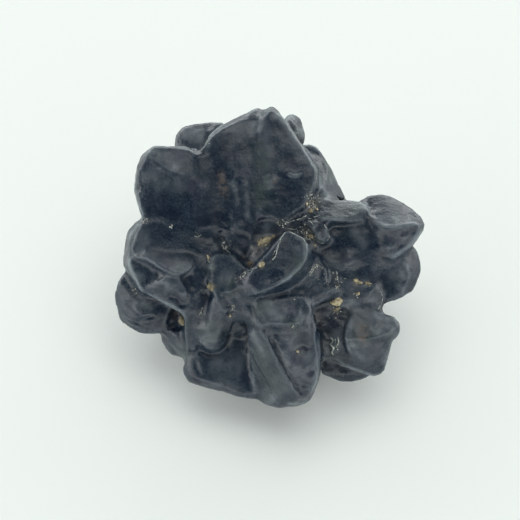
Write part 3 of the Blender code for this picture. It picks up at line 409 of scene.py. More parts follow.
shells = bmesh.new()
core = Matrix.Translation(CORE_CENTRE) @ Matrix.Diagonal((*CORE_RADII, 1.0))
bmesh.ops.create_icosphere(shells, subdivisions=5, radius=1.0, matrix=face_to_table @ core)
for corners in FACE_CRYSTALS.values():
    add_hull(shells, corners, face_to_table)
rng = random.Random(SEED)
for tip, half_width, shoulder, roll in [*HIDDEN_CRYSTALS.values(), *FEET.values()]:
    add_hull(shells, knob_corners(tip, half_width, shoulder, roll, rng), lift)
bmesh.ops.scale(shells, vec=(MM, MM, MM), verts=shells.verts)
bmesh.ops.recalc_face_normals(shells, faces=shells.faces)
print("faces of the overlapping shells:", len(shells.faces))

# %% [markdown]
# ## One skin
#
# A voxel remesh turns the overlapping shells into one closed skin. On the real stone the inner corners are not
# sharp: later growth has filled them to a small radius. Swelling the skin by that radius, remeshing, and shrinking
# it back does exactly that, because a narrow gap closes when it swells and cannot open again. A light smoothing
# then takes the edges off the faces, as the wind did.

# %% Fuse, fill the inner corners, wear the edges
SKIN_CELL = 0.25  # mm, two cells across the smallest ridge that shows
FILLET = 0.7  # mm
WEAR_SPARE = 0.06  # mm of stock for the smoothing to take
SMOOTH_STEPS = 2


def baked_mesh(obj, name):
    """The object's mesh with its modifiers made real."""
    depsgraph = bpy.context.evaluated_depsgraph_get()
    mesh = bpy.data.meshes.new_from_object(obj.evaluated_get(depsgraph))
    mesh.name = name
    return mesh


def add_remesh(obj, cell):
    remesh = obj.modifiers.new("remesh", "REMESH")
    remesh.mode = "VOXEL"
    remesh.voxel_size = cell * MM


def add_swell(obj, distance):
    swell = obj.modifiers.new("swell", "DISPLACE")
    swell.mid_level = 0.0
    swell.strength = distance * MM


def grown_skin(name, cell, fillet, spare, smooth_steps):
    mesh = bpy.data.meshes.new(name)
    shells.to_mesh(mesh)
    obj = bpy.data.objects.new(name, mesh)
    bpy.context.scene.collection.objects.link(obj)
    add_remesh(obj, cell)
    add_swell(obj, fillet)
    add_remesh(obj, cell)
    add_swell(obj, spare - fillet)
    add_remesh(obj, cell)
    wear = obj.modifiers.new("wear", "SMOOTH")
    wear.iterations = smooth_steps
    obj.data = baked_mesh(obj, name)
    obj.modifiers.clear()
    return obj


stone = grown_skin("stone_skin", SKIN_CELL, FILLET, WEAR_SPARE, SMOOTH_STEPS)
print("faces of the skin:", len(stone.data.polygons))

# %% [markdown]
# ## Filled valleys
#
# Between some crystals the stone has grown far more than a small radius: the valley is a wide soft trough. The same
# recipe with a 3 mm radius gives a skin with every hollow filled like that, and it is used twice. Here the skin is
# drawn towards it along the valleys that are filled on the real stone. Later the distance between the two tells how
# sheltered each point is, which says where dust stays.

# %% Tools for moving the points of a mesh
def read_vectors(collection, key, count):
    values = np.empty(count * 3)
    collection.foreach_get(key, values)
    return values.reshape(-1, 3)


def read_points(mesh):
    return read_vectors(mesh.vertices, "co", len(mesh.vertices))


def write_points(mesh, points):
    mesh.vertices.foreach_set("co", points.ravel())
    mesh.update()


def read_edges(mesh):
    ends = np.empty(len(mesh.edges) * 2, dtype=np.int64)
    mesh.edges.foreach_get("vertices", ends)
    return ends.reshape(-1, 2)


def relaxed(points, ends, share, steps):
    """Points drawn towards the mean of their neighbours, a share of the way at each step."""
    count = len(points)
    both = np.concatenate([ends, ends[:, ::-1]])
    neighbours = np.bincount(both[:, 0], minlength=count)[:, None]
    for _ in range(steps):
        total = [np.bincount(both[:, 0], weights=points[both[:, 1], k], minlength=count) for k in range(3)]
        points = points + share * (np.stack(total, axis=1) / neighbours - points)
    return points


TAPER = 0.15  # share of a line over which it fades in, and out at its end


def line_strength(path, flat_xy, half_width):
    """From 0 far from a line to 1 on it, for points on the face. Both ends of the line fade out."""
    best = np.full(len(flat_xy), 1e9)
    taper = np.ones(len(flat_xy))
    pieces = list(zip(path, path[1:] or path))
    lengths = [math.dist(start, end) for start, end in pieces]
    done = 0.0
    for (start, end), length in zip(pieces, lengths):
        start = np.array(start)
        along = np.array(end) - start
        share = np.clip((flat_xy - start) @ along / max(along @ along, 1e-9), 0.0, 1.0)
        gap = np.linalg.norm(flat_xy - start - share[:, None] * along, axis=1)
        if length > 0.0:
            way = (done + share * length) / sum(lengths)
            thin = np.clip(np.minimum(way, 1.0 - way) / TAPER, 0.0, 1.0)
            taper = np.where(gap < best, thin, taper)
        best = np.minimum(best, gap)
        done += length
    return taper * np.exp(-((best / half_width) ** 2))


def face_view(mesh):
    """Where each vertex is on the face in mm, and how far it looks out of it and lies on top there."""
    turn = np.array(table_to_face)
    spots = read_points(mesh) / MM @ turn[:3, :3].T + turn[:3, 3]
    out = read_vectors(mesh.vertex_normals, "vector", len(spots)) @ turn[:3, :3].T
    cells = np.floor(spots[:, :2] / 0.6).astype(int) + 60
    top = np.full((120, 120), -1e9)
    np.maximum.at(top, (cells[:, 0], cells[:, 1]), spots[:, 2])
    on_top = spots[:, 2] > top[cells[:, 0], cells[:, 1]] - 2.0
    return spots, np.clip(out[:, 2] / 0.25, 0.0, 1.0) * on_top


# %% Draw the skin towards the filled one
FILLED_CELL = 0.6
FILLED_RADIUS = 3.0
FILLED_STEPS = 6
#   line on the face in mm, half width, share of the way to the filled skin
VALLEYS = {
    "under the left block": ([(-17.4, 5.0), (-15.0, 4.9), (-11.0, 4.2), (-7.0, 3.4)], 2.0, 0.9),
    "left block to crown": ([(-9.2, 14.0), (-9.4, 12.0), (-8.8, 9.0), (-8.0, 5.0)], 1.6, 0.9),
    "crown foot": ([(-6.6, 5.0), (-5.0, 2.6), (-3.0, 1.0)], 1.6, 0.7),
    "shoulder end": ([(-11.0, 0.6), (-10.6, -2.6), (-10.8, -6.0)], 1.2, 0.7),
    "shoulder end foot": ([(-11.2, -4.0), (-11.0, -6.6), (-10.6, -9.6)], 1.8, 0.95),
    "middle head": ([(-9.6, 2.8), (-7.4, 2.0), (-6.0, 1.6)], 1.2, 0.4),
    "beside the toe": ([(-11.4, -8.0), (-11.4, -11.0), (-11.2, -13.4)], 1.4, 0.8),
    "toe to knuckle": ([(-6.0, -11.6), (-4.6, -9.0), (-4.2, -6.6)], 1.4, 0.7),
    "under the tongue": ([(8.0, 3.6), (10.0, 3.2), (14.0, 3.4)], 1.3, 0.6),
    "right hollow": ([(8.0, 1.0), (10.6, -2.0), (14.6, -2.4)], 2.0, 0.7),
    "right block foot": ([(15.0, 4.2), (15.8, 2.6), (16.2, 0.6), (16.0, -2.4)], 1.5, 0.8),
    "petal tail": ([(-4.8, -2.2), (-3.8, -4.0), (-2.6, -5.6)], 1.2, 0.9),
    "petal to hole": ([(7.4, 0.4), (6.4, -2.4), (4.4, -4.6)], 1.3, 0.6),
    "star to ledge": ([(10.4, -8.6), (10.5, -12.4), (10.4, -15.4)], 1.3, 0.75),
    "beside the tongue": ([(7.6, 12.6), (7.8, 9.6), (10.4, 8.4)], 1.2, 0.6),
}

filled = grown_skin("filled_skin", FILLED_CELL, FILLED_RADIUS, 0.0, FILLED_STEPS)
lid = BVHTree.FromPolygons([v.co for v in filled.data.vertices], [p.vertices for p in filled.data.polygons])
bpy.data.objects.remove(filled)


def under_lid(points):
    """The nearest point of the filled skin for each point, and how far the point lies below that skin."""
    nearest = np.empty_like(points)
    below = np.empty(len(points))
    for k, point in enumerate(points):
        spot, out, _, _ = lid.find_nearest(point)
        nearest[k] = spot
        below[k] = (spot - Vector(point)).dot(out)
    return nearest, below


points = read_points(stone.data)
spots, facing = face_view(stone.data)
nearest, below = under_lid(points)
share = np.zeros(len(points))
for path, half_width, full_share in VALLEYS.values():
    share = np.maximum(share, full_share * line_strength(path, spots[:, :2], half_width))
on_face = np.clip((spots[:, 2] + 2.0) / 3.0, 0.0, 1.0)
share *= on_face * (below > 0.0)
points += share[:, None] * (nearest - points)
softened = relaxed(points, read_edges(stone.data), 0.5, 12)
weight = np.clip(share * 1.5, 0.0, 1.0)[:, None]
write_points(stone.data, points + weight * (softened - points))
print("share of the skin that moved:", round(float((share > 0.1).mean()), 3))

# %% Wear some places more than others
#   line on the face in mm, half width
WORN = {
    "middle of the crown": ([(-0.9, 22.0), (-1.4, 17.0), (-1.6, 12.0), (-1.4, 5.6)], 1.7),
    "upper left of the crown": ([(-9.4, 16.2), (-6.4, 17.4), (-3.0, 19.4)], 1.3),
    "left block to crown": ([(-9.6, 13.4), (-9.4, 9.6), (-8.4, 6.0)], 1.5),
    "under the left block": ([(-17.0, 6.4), (-14.0, 6.4), (-8.4, 5.4)], 1.6),
    "shoulder table": ([(-18.0, 3.0), (-12.0, 2.4)], 1.6),
    "tongue": ([(9.4, 7.2), (13.4, 7.3)], 0.9),
    "right block top": ([(16.4, 7.0), (20.6, 6.2)], 1.4),
    "behind the crown": ([(6.4, 15.6), (8.4, 12.6), (9.0, 10.0)], 1.3),
    "right hollow": ([(9.6, 2.6), (10.4, 0.4), (14.8, 1.2), (15.4, -1.6)], 1.5),
    "petal tail": ([(-4.6, -2.2), (-3.6, -4.0), (-2.8, -5.4)], 1.0),
    "toe sides": ([(-10.6, -5.0), (-10.6, -8.6), (-10.8, -12.0)], 1.2),
    "knuckle": ([(0.0, -7.4), (3.6, -7.6)], 1.6),
    "foot plate": ([(-10.4, -16.0), (-5.4, -16.6)], 1.6),
}
WORN_STEPS = 60

points = read_points(stone.data)
spots, facing = face_view(stone.data)
share = np.zeros(len(points))
for path, half_width in WORN.values():
    share = np.maximum(share, line_strength(path, spots[:, :2], half_width))
share *= np.clip((spots[:, 2] + 2.0) / 3.0, 0.0, 1.0)
worn = relaxed(points, read_edges(stone.data), 0.5, WORN_STEPS)
write_points(stone.data, points + share[:, None] * (worn - points))

# %% [markdown]
# ## Marks on the face
#
# What is too small to be a crystal is a mark: a rim, a growth ridge, a groove, a dent or a wart. Each is a line or a
# spot on the face with a width and a height, and the skin is moved along its own normals under it. Only the skin
# that looks out of the face and lies on top there is moved, so a mark never prints through to the back.

# %% Rims, ridges and grooves
#   line on the face in mm, half width, height (negative for a groove)
LINES = {
    "crown cap": ([(-4.6, 20.7), (-2.8, 21.8), (-1.4, 22.2), (0.0, 22.4), (1.0, 21.7)], 0.4, 0.05),
    "crown left edge": ([(-6.6, 19.8), (-8.2, 19.0), (-9.2, 17.9), (-9.8, 16.8), (-10.8, 15.9)], 0.35, 0.07),
    "crown right edge": ([(0.9, 21.6), (1.9, 20.4), (3.2, 18.3), (4.7, 15.9), (5.9, 14.2), (6.8, 12.8)], 0.3, 0.06),
    "crown lip": ([(2.3, 12.6), (3.3, 12.1), (4.2, 12.2), (4.9, 12.7)], 0.35, 0.3),
    "crown lower edge": ([(6.8, 12.6), (6.2, 12.1), (5.0, 11.7), (3.8, 11.2)], 0.4, 0.05),
    "crown rib": ([(-0.8, 20.6), (-1.2, 17.0), (-1.4, 12.6), (-1.0, 8.4)], 1.2, 0.03),
    "flank rib two": ([(-3.4, 8.6), (-3.3, 6.4), (-3.6, 4.6), (-4.1, 3.4)], 0.32, 0.05),
    "flank groove": ([(-5.2, 16.0), (-4.9, 13.0), (-4.6, 9.6), (-4.2, 6.6)], 0.4, -0.11),
    "block ridge": ([(-18.6, 15.2), (-17.2, 14.4), (-15.9, 13.4), (-14.8, 12.7), (-13.4, 12.3), (-12.2, 12.8)], 0.5, 0.12),
    "block left rim": ([(-20.0, 14.0), (-20.3, 12.2), (-19.8, 10.6)], 0.35, 0.05),
    "block left notch": ([(-20.2, 10.2), (-19.4, 9.9)], 0.35, -0.2),
    "block low rim": ([(-20.0, 9.4), (-19.4, 7.6), (-18.6, 6.4)], 0.32, 0.05),
    "shoulder lip": ([(-20.4, 0.1), (-18.4, 0.0), (-17.0, -0.8), (-15.6, -1.8), (-13.9, -2.5), (-12.6, -2.1), (-11.5, -1.3)], 0.5, 0.12),
    "under the lip": ([(-20.3, -0.5), (-18.6, -0.7), (-17.2, -1.5), (-15.8, -2.5), (-14.0, -3.2)], 0.5, -0.15),
    "shoulder rim": ([(-21.1, 0.6), (-20.9, -1.0), (-20.2, -2.7), (-19.4, -4.4), (-18.6, -5.3), (-17.0, -5.9), (-15.6, -6.7), (-14.2, -7.4), (-13.0, -8.2), (-12.3, -9.3), (-11.9, -10.6)], 0.32, 0.07),
    "low block crease": ([(-22.2, -8.3), (-21.5, -9.2), (-20.0, -9.7), (-18.6, -9.1), (-17.2, -8.8)], 0.32, -0.18),
    "low block rim": ([(-22.2, -7.6), (-21.4, -8.5), (-20.1, -9.0), (-18.8, -8.5), (-17.4, -8.2)], 0.35, 0.05),
    "knuckle rib one": ([(-16.0, -11.6), (-15.8, -12.8), (-15.3, -13.8), (-14.6, -14.1)], 0.3, 0.05),
    "knuckle rib two": ([(-14.3, -11.0), (-13.5, -12.8), (-12.8, -14.6), (-12.4, -16.2), (-12.2, -18.0)], 0.32, 0.05),
    "foot edge": ([(-10.5, -14.4), (-11.2, -15.8), (-10.8, -17.0), (-10.3, -18.2)], 0.35, -0.08),
    "under the toe": ([(-11.0, -12.4), (-10.7, -13.8), (-9.5, -14.5), (-7.9, -14.5), (-6.5, -13.6), (-5.8, -12.2)], 0.4, -0.35),
    "knuckle notch": ([(-12.0, -13.2), (-12.1, -15.0)], 0.3, -0.25),
    "toe valley": ([(-9.6, -4.6), (-9.9, -6.4), (-10.2, -8.2), (-10.6, -10.6)], 1.0, -0.5),
    "shoulder low dent": ([(-15.4, -5.4), (-13.8, -6.2), (-12.8, -7.6)], 0.6, -0.3),
    "toe rim": ([(-10.5, -10.8), (-10.3, -12.3), (-9.6, -13.3), (-8.6, -13.7), (-7.4, -13.5), (-6.7, -12.8)], 0.35, 0.14),
    "middle ridge": ([(-8.1, -5.3), (-7.6, -6.4), (-7.0, -7.5), (-6.4, -8.4)], 0.28, 0.16),
    "middle fold": ([(-7.2, -5.2), (-6.4, -6.6), (-5.6, -7.8)], 0.35, -0.16),
    "shoulder post": ([(-8.6, -0.8), (-8.7, -1.7), (-8.9, -2.7)], 0.45, 0.05),
    "prow tube": ([(-3.2, -9.6), (-2.7, -11.8), (-1.4, -14.2), (-0.1, -16.6), (1.3, -18.9), (2.4, -20.8)], 0.9, 0.16),
    "prow lip": ([(-1.6, -10.6), (-0.7, -12.3), (0.4, -14.8), (1.5, -17.1), (2.6, -19.2), (3.5, -20.8)], 0.45, 0.06),
    "prow groove": ([(-0.7, -10.9), (0.4, -12.6), (1.5, -15.0), (2.6, -17.2), (3.5, -18.8), (4.5, -20.2), (5.3, -20.4)], 0.36, -0.5),
    "prow side rib one": ([(-3.3, -12.4), (-2.5, -14.4), (-1.4, -16.6), (-0.2, -18.8), (0.9, -20.8)], 0.35, 0.10),
    "prow side rib two": ([(-3.0, -14.6), (-2.3, -16.8), (-1.5, -19.0), (-0.7, -21.0)], 0.35, 0.10),
    "prow side groove": ([(-3.2, -13.6), (-2.2, -15.8), (-1.0, -18.2), (0.2, -20.4)], 0.3, -0.22),
    "prow far rim": ([(-2.9, -15.2), (-2.4, -17.2), (-2.5, -19.2), (-2.2, -20.8)], 0.3, 0.05),
    "prow hollow": ([(3.9, -17.6), (4.6, -18.9), (5.4, -18.4)], 0.7, -0.21),
    "prow hollow rim": ([(5.3, -20.2), (6.2, -19.0), (6.3, -17.6), (5.9, -16.6)], 0.32, 0.05),
    "prow right rim": ([(7.0, -11.4), (7.15, -13.8), (7.05, -16.4), (6.7, -18.6), (6.0, -20.5), (4.8, -21.6)], 0.38, 0.06),
    "knuckle step": ([(-3.0, -10.1), (-1.4, -10.2), (0.8, -9.9), (3.0, -9.8), (4.2, -10.4)], 0.4, 0.05),
    "knuckle left rib": ([(-3.2, -9.0), (-2.6, -7.6), (-1.8, -6.6)], 0.35, 0.05),
    "hole lip": ([(6.4, -8.8), (5.8, -7.4), (5.6, -6.0), (6.4, -5.2), (7.8, -4.9), (9.4, -4.9)], 0.7, 0.2),
    "ledge flake one": ([(9.2, -11.9), (9.6, -12.7), (9.1, -13.4), (9.6, -14.2), (9.3, -14.8)], 0.22, 0.12),
    "ledge flake two": ([(10.0, -12.0), (10.2, -12.9), (9.9, -13.7), (10.1, -14.4)], 0.2, 0.12),
    "ledge front": ([(7.2, -14.8), (8.2, -14.9), (9.2, -14.9)], 0.25, 0.05),
    "star left rim": ([(13.3, -7.3), (12.3, -8.3), (11.6, -9.7), (11.2, -11.2), (11.3, -12.6), (11.9, -14.0), (12.7, -15.2)], 0.34, 0.06),
    "star top rim": ([(13.3, -7.4), (14.4, -7.6), (15.4, -8.1), (16.6, -8.5)], 0.32, 0.05),
    "star ridge": ([(19.1, -10.5), (17.4, -11.3), (16.0, -11.8), (14.9, -11.9)], 0.5, 0.09),
    "star crease": ([(18.8, -11.4), (17.2, -12.0), (15.8, -12.6), (14.8, -12.8)], 0.5, -0.2),
    "star upper crease": ([(15.6, -8.6), (15.9, -9.6), (15.4, -10.6)], 0.35, -0.13),
    "star right rim": ([(18.6, -11.9), (17.8, -13.2), (17.4, -14.8), (17.1, -16.4)], 0.34, 0.05),
    "star low rib": ([(13.2, -13.8), (14.4, -14.8), (15.4, -16.0), (15.8, -17.2)], 0.4, 0.05),
    "web rim": ([(9.4, -14.9), (10.8, -15.9), (12.2, -16.5), (13.6, -17.0), (15.2, -17.6), (16.6, -17.3)], 0.3, 0.07),
    "wedge rim": ([(14.9, -4.0), (16.0, -4.6), (16.6, -5.8), (16.4, -7.0), (15.9, -7.9)], 0.3, 0.07),
    "low right fold": ([(19.7, 0.0), (20.1, -1.6), (20.9, -3.4)], 0.35, 0.12),
    "right block front": ([(17.0, 0.8), (18.1, 0.5), (19.5, 1.2), (20.9, 2.4), (22.4, 4.4)], 0.45, 0.26),
    "under the front": ([(17.2, -1.4), (18.6, -0.6), (20.2, 0.8)], 0.35, 0.05),
    "right block ridge": ([(14.9, 6.6), (14.8, 5.8), (15.5, 5.1), (16.7, 4.6), (18.2, 4.4), (20.2, 4.8), (22.4, 5.2)], 0.36, 0.14),
    "tongue end": ([(14.6, 8.2), (15.0, 7.2), (15.1, 6.0)], 0.28, -0.3),
    "tongue edge": ([(6.6, 6.0), (8.2, 5.8), (9.8, 5.6), (11.2, 5.8), (12.4, 6.3), (13.6, 6.9), (14.6, 7.2)], 0.36, 0.06),
    "tongue top": ([(7.2, 12.4), (7.3, 10.6), (8.2, 9.3), (9.8, 8.7), (11.6, 8.5), (13.4, 8.3), (14.6, 7.6)], 0.38, 0.06),
    "behind rib one": ([(5.4, 16.8), (6.6, 16.5), (7.6, 15.7), (8.3, 15.0)], 0.32, 0.1),
    "behind rib two": ([(7.4, 15.0), (8.4, 13.4), (8.3, 11.6), (7.9, 10.2)], 0.32, 0.13),
    "behind rib three": ([(6.2, 15.8), (7.1, 14.2), (7.7, 12.6)], 0.3, 0.05),
    "flap hollow": ([(6.6, 4.8), (7.4, 3.8), (7.7, 2.8)], 0.45, -0.16),
    "petal outer rim": ([(4.4, 3.4), (5.5, 2.2), (6.0, 0.8), (5.9, -0.6), (5.2, -2.1), (3.6, -3.7), (1.4, -4.8), (-1.0, -5.5)], 0.34, 0.05),
    "petal ridge": ([(3.4, 3.5), (4.6, 2.4), (5.1, 1.0), (4.9, -0.4), (3.9, -1.8), (2.4, -3.1), (0.6, -4.2), (-1.4, -5.2)], 0.36, 0.12),
    "petal hollow": ([(-1.2, -3.6), (0.8, -3.0), (2.4, -1.8), (3.4, -0.4), (3.6, 1.2)], 0.9, -0.3),
    "petal left rim": ([(2.2, 3.7), (1.4, 2.4), (1.1, 1.0), (0.8, 0.0), (-0.3, -0.9), (-2.0, -1.4), (-3.4, -2.2)], 0.24, 0.07),
    "petal shade": ([(-2.3, -6.0), (-0.8, -5.9), (1.2, -5.5), (2.6, -5.0)], 0.45, -0.4),
    "crevice rib": ([(-3.2, 0.2), (-2.0, 0.8), (-0.4, 1.4), (0.6, 2.4)], 0.32, 0.05),
}

# %% Dents and warts
#   centre on the face in mm, radius, height
SPOTS = {
    "prow wart": ((3.9, -15.9), 0.55, 0.26),
    "prow dent": ((5.9, -16.9), 0.55, -0.24),
    "prow pit": ((4.6, -13.3), 1.35, -1.00),
    "front bump one": ((17.9, 1.7), 0.75, 0.40),
    "front bump two": ((19.9, 2.9), 0.75, 0.36),
    "hollow wart": ((11.6, -0.2), 1.1, 0.45),
    "hollow swell": ((12.4, 3.6), 1.4, 0.25),
    "crown chip": ((0.5, 11.4), 0.55, 0.22),
    "mauve swell": ((-10.2, 11.4), 1.2, 0.30),
    "star dimple": ((14.4, -11.6), 1.3, -0.40),
    "star swell": ((13.2, -10.4), 1.2, 0.16),
    "low block wart": ((-19.8, -7.9), 0.8, 0.3),
    "low block swell": ((-20.6, -6.0), 1.2, 0.22),
    "shoulder swell": ((-15.0, -4.6), 1.0, 0.24),
    "shoulder swell two": ((-12.8, -5.3), 0.9, 0.18),
    "middle swell": ((-5.6, -3.2), 0.8, 0.24),
    "toe swell": ((-8.8, -11.6), 1.0, 0.20),
    "flank lump": ((-4.9, 4.4), 0.9, 0.26),
    "root lump": ((-1.6, 7.0), 0.9, 0.24),
    "dark pit": ((-5.9, -8.4), 0.5, -0.35),
    "step wart": ((3.6, -9.8), 0.4, 0.16),
}

points = read_points(stone.data)
normals = read_vectors(stone.data.vertex_normals, "vector", len(points))
spots, facing = face_view(stone.data)
heights = np.zeros(len(points))
for path, half_width, height in LINES.values():
    heights += height * line_strength(path, spots[:, :2], half_width)
for centre, radius, height in SPOTS.values():
    heights += height * line_strength([centre], spots[:, :2], radius)
write_points(stone.data, points + normals * (heights * facing * MM)[:, None])
print("marks:", len(LINES), "lines and", len(SPOTS), "spots, deepest", round(float(heights.min()), 2), "mm")

# %% [markdown]
# ## The finish
#
# Goethite and haematite are nearly black and bend light strongly (their refractive index is over 2), so a face turned
# to something bright looks grey and one turned to something dark looks like ink. Wind has waxed the skin: it is
# smooth but not polished, with a faint grain. Most of its look is therefore reflection, and the colour itself can
# stay close to black, a little bluer on the rubbed faces and browner where the iron has rusted.

# %% Helpers for colours and nodes
def hex_colour(code, alpha=1.0):
    """An sRGB hex value as linear red, green, blue, alpha."""
    channels = [int(code[k : k + 2], 16) / 255 for k in (1, 3, 5)]
    linear = [c / 12.92 if c <= 0.04045 else ((c + 0.055) / 1.055) ** 2.4 for c in channels]
    return (*linear, alpha)


def add_node(tree, kind, inputs=None, **settings):
    """A new node with its settings, each input either joined to a socket or given a value."""
    node = tree.nodes.new(kind)
    for name, value in settings.items():
        setattr(node, name, value)
    for key, value in (inputs or {}).items():
        if isinstance(value, bpy.types.NodeSocket):
            tree.links.new(value, node.inputs[key])
        else:
            node.inputs[key].default_value = value
    return node


def new_material(name, **values):
    material = bpy.data.materials.new(name)
    material.use_nodes = True
    shader = material.node_tree.nodes["Principled BSDF"]
    for key, value in values.items():
        shader.inputs[key.replace("_", " ")].default_value = value
    return material, material.node_tree, shader


# %% Waxed goethite
# Nearly black, glossy like worn wax: ink-dark faces, rust and dust only in the hollows, rims bright from wear and from
# painted highlights, and painted sheen and painted shade on some faces.
GRAIN = 0.35  # mm, the finest bump that the picture can show
PATCH = 5.0  # mm, the size of the bluer and browner patches
STREAK = 0.7  # mm across the growth streaks, at 15 mm from the centre
ROUGHNESS = (0.24, 0.36)  # worn wax

goethite, tree, skin_shader = new_material("waxed_goethite", IOR=1.45, Metallic=0.0)
place = add_node(tree, "ShaderNodeTexCoord").outputs["Object"]


def noise(size, detail=3.0, roughness=0.55, vector=place):
    scale = 1.0 / (size * MM)
    inputs = {"Vector": vector, "Scale": scale, "Detail": detail, "Roughness": roughness}
    return add_node(tree, "ShaderNodeTexNoise", inputs).outputs["Fac"]


def attribute(name):
    return add_node(tree, "ShaderNodeAttribute", attribute_name=name).outputs["Fac"]


def ramp(value, low, high, start=0.0, end=1.0):
    inputs = {"Value": value, "From Min": low, "From Max": high, "To Min": start, "To Max": end}
    return add_node(tree, "ShaderNodeMapRange", inputs, interpolation_type="SMOOTHSTEP").outputs["Result"]


def product(a, b):
    return add_node(tree, "ShaderNodeMath", {0: a, 1: b}, operation="MULTIPLY").outputs["Value"]


def blend_colour(factor, below, above):
    mix = add_node(tree, "ShaderNodeMix", {"Factor": factor}, data_type="RGBA")
    for key, value in {"A": below, "B": above}.items():
        socket = next(s for s in mix.inputs if s.name == key and s.type == "RGBA")
        if isinstance(value, bpy.types.NodeSocket):
            tree.links.new(value, socket)
        else:
            socket.default_value = value
    return next(s for s in mix.outputs if s.type == "RGBA")


patches = ramp(noise(PATCH), 0.38, 0.62)
skin = blend_colour(patches, hex_colour("#0c1a2b"), hex_colour("#0f1c2a"))
mottle = ramp(noise(0.7, 5.0, 0.7), 0.46, 0.66)
skin = blend_colour(product(mottle, 0.30), skin, hex_colour("#34414a"))
speckle = ramp(noise(0.24, 2.0), 0.45, 0.75)
skin = blend_colour(product(speckle, 0.45), skin, hex_colour("#42505a"))
# Painted shade: the plain dark base laid back over faces and creases that lie in shade or mirror the dark side of the
# room.
skin = blend_colour(product(attribute("painted_shade"), 0.9), skin, hex_colour("#0b1828"))
rusty = product(ramp(attribute("cavity"), 0.25, 0.9), ramp(noise(1.6), 0.45, 0.65))
skin = blend_colour(product(rusty, 0.5), skin, hex_colour("#2b2724"))
# Rubbed edges made lighter, which also paints a highlight along every convex edge.
skin = blend_colour(product(attribute("edge"), 0.16), skin, hex_colour("#848f95"))
# Painted highlights: pale lines along the rims where the light glances off them.
painted_rim_highlight = product(attribute("painted_rim_highlight"), ramp(noise(0.9, 3.0), 0.25, 0.6, 0.35, 1.0))
skin = blend_colour(product(painted_rim_highlight, 0.32), skin, hex_colour("#98a4aa"))
# A grey film that is partly painted sheen, lighter where faces catch the light.
skin = blend_colour(product(attribute("haze_and_painted_sheen"), ramp(noise(1.2, 4.0), 0.25, 0.7, 0.35, 1.0)), skin, hex_colour("#434a51"))
# Pale patina, and painted highlights on lit rims and faces.
skin = blend_colour(product(attribute("pale"), ramp(noise(1.0, 4.0), 0.25, 0.7, 0.2, 0.75)), skin, hex_colour("#646c71"))
skin = blend_colour(product(attribute("green"), ramp(noise(1.2), 0.25, 0.6, 0.1, 0.5)), skin, hex_colour("#35403d"))
skin = blend_colour(product(attribute("mauve"), ramp(noise(1.0), 0.25, 0.6, 0.1, 0.5)), skin, hex_colour("#383846"))
skin = blend_colour(product(attribute("brown"), ramp(noise(0.7), 0.35, 0.6, 0.0, 0.8)), skin, hex_colour("#59514e"))
skin = blend_colour(product(attribute("sand"), ramp(noise(0.5), 0.45, 0.62, 0.0, 0.35)), skin, hex_colour("#63645c"))
skin = blend_colour(product(attribute("ochre"), ramp(noise(0.6), 0.30, 0.55)), skin, hex_colour("#7c745f"))
glints = ramp(noise(0.33, 2.0), 0.64, 0.70)
skin = blend_colour(product(attribute("dust"), glints), skin, hex_colour("#7d8079"))
skin = blend_colour(product(attribute("sand"), glints), skin, hex_colour("#c4c3b8"))
tree.links.new(skin, skin_shader.inputs["Base Color"])

dull = add_node(tree, "ShaderNodeMath", {0: attribute("ochre"), 1: attribute("sand")}, operation="MAXIMUM").outputs["Value"]
rough = ramp(noise(2.2), 0.3, 0.7, ROUGHNESS[0], ROUGHNESS[1])
rough = add_node(tree, "ShaderNodeMath", {0: rough, 1: product(dull, 0.3)}, operation="ADD").outputs["Value"]
tree.links.new(rough, skin_shader.inputs["Roughness"])

fine = add_node(tree, "ShaderNodeBump", {"Height": noise(GRAIN, 4.0), "Strength": 0.8, "Distance": 0.05 * MM})
outward = add_node(tree, "ShaderNodeVectorMath", {0: place, 1: face_to_table.translation * MM}, operation="SUBTRACT")
heading = add_node(tree, "ShaderNodeVectorMath", {0: outward.outputs["Vector"]}, operation="NORMALIZE")
streaks = add_node(
    tree,
    "ShaderNodeTexNoise",
    {"Vector": heading.outputs["Vector"], "Scale": 15.0 / STREAK, "Detail": 4.0, "Roughness": 0.6},
)
streak_bump = add_node(
    tree,
    "ShaderNodeBump",
    {"Height": streaks.outputs["Fac"], "Strength": 0.5, "Distance": 0.12 * MM, "Normal": fine.outputs["Normal"]},
)
tree.links.new(streak_bump.outputs["Normal"], skin_shader.inputs["Normal"])
print("skin material:", goethite.name, "with", len(tree.nodes), "nodes")

# %% Ochre crust, desert sand and mineral film
# Ochre is soft earthy iron hydroxide: it gives the crevices their only warm colour, and has no shine.
ochre, tree, shader = new_material("earthy_ochre", IOR=1.5, Roughness=0.8)
place = add_node(tree, "ShaderNodeTexCoord").outputs["Object"]
earthy = blend_colour(attribute("tone"), hex_colour("#5d5341"), hex_colour("#cdbf9c"))
stained = blend_colour(ramp(noise(0.35, 3.0, 0.6, place), 0.35, 0.65, 0.0, 0.8), earthy, hex_colour("#6e6751"))
tree.links.new(stained, shader.inputs["Base Color"])
rubbly = add_node(tree, "ShaderNodeBump", {"Height": noise(0.2, 3.0, 0.6, place), "Strength": 0.7, "Distance": 0.06 * MM})
tree.links.new(rubbly.outputs["Normal"], shader.inputs["Normal"])

# Desert sand is mostly clear quartz with some stained grains: single bright points in the hollows.
sand, tree, shader = new_material("desert_sand", IOR=1.54, Roughness=0.25)
grain_colour = blend_colour(ramp(attribute("tone"), 0.45, 0.95), hex_colour("#484a47"), hex_colour("#d4d4ca"))
tree.links.new(grain_colour, shader.inputs["Base Color"])

# The film is clear mineral grown on the rims: as a thin edge it looks pale, a little green from the stone behind it.
pale_film, tree, shader = new_material("mineral_film", IOR=1.55, Roughness=0.35)
place = add_node(tree, "ShaderNodeTexCoord").outputs["Object"]
streaky = blend_colour(ramp(noise(0.5, 3.0, 0.6, place), 0.35, 0.65), hex_colour("#5f6763"), hex_colour("#b9beb5"))
tree.links.new(streaky, shader.inputs["Base Color"])

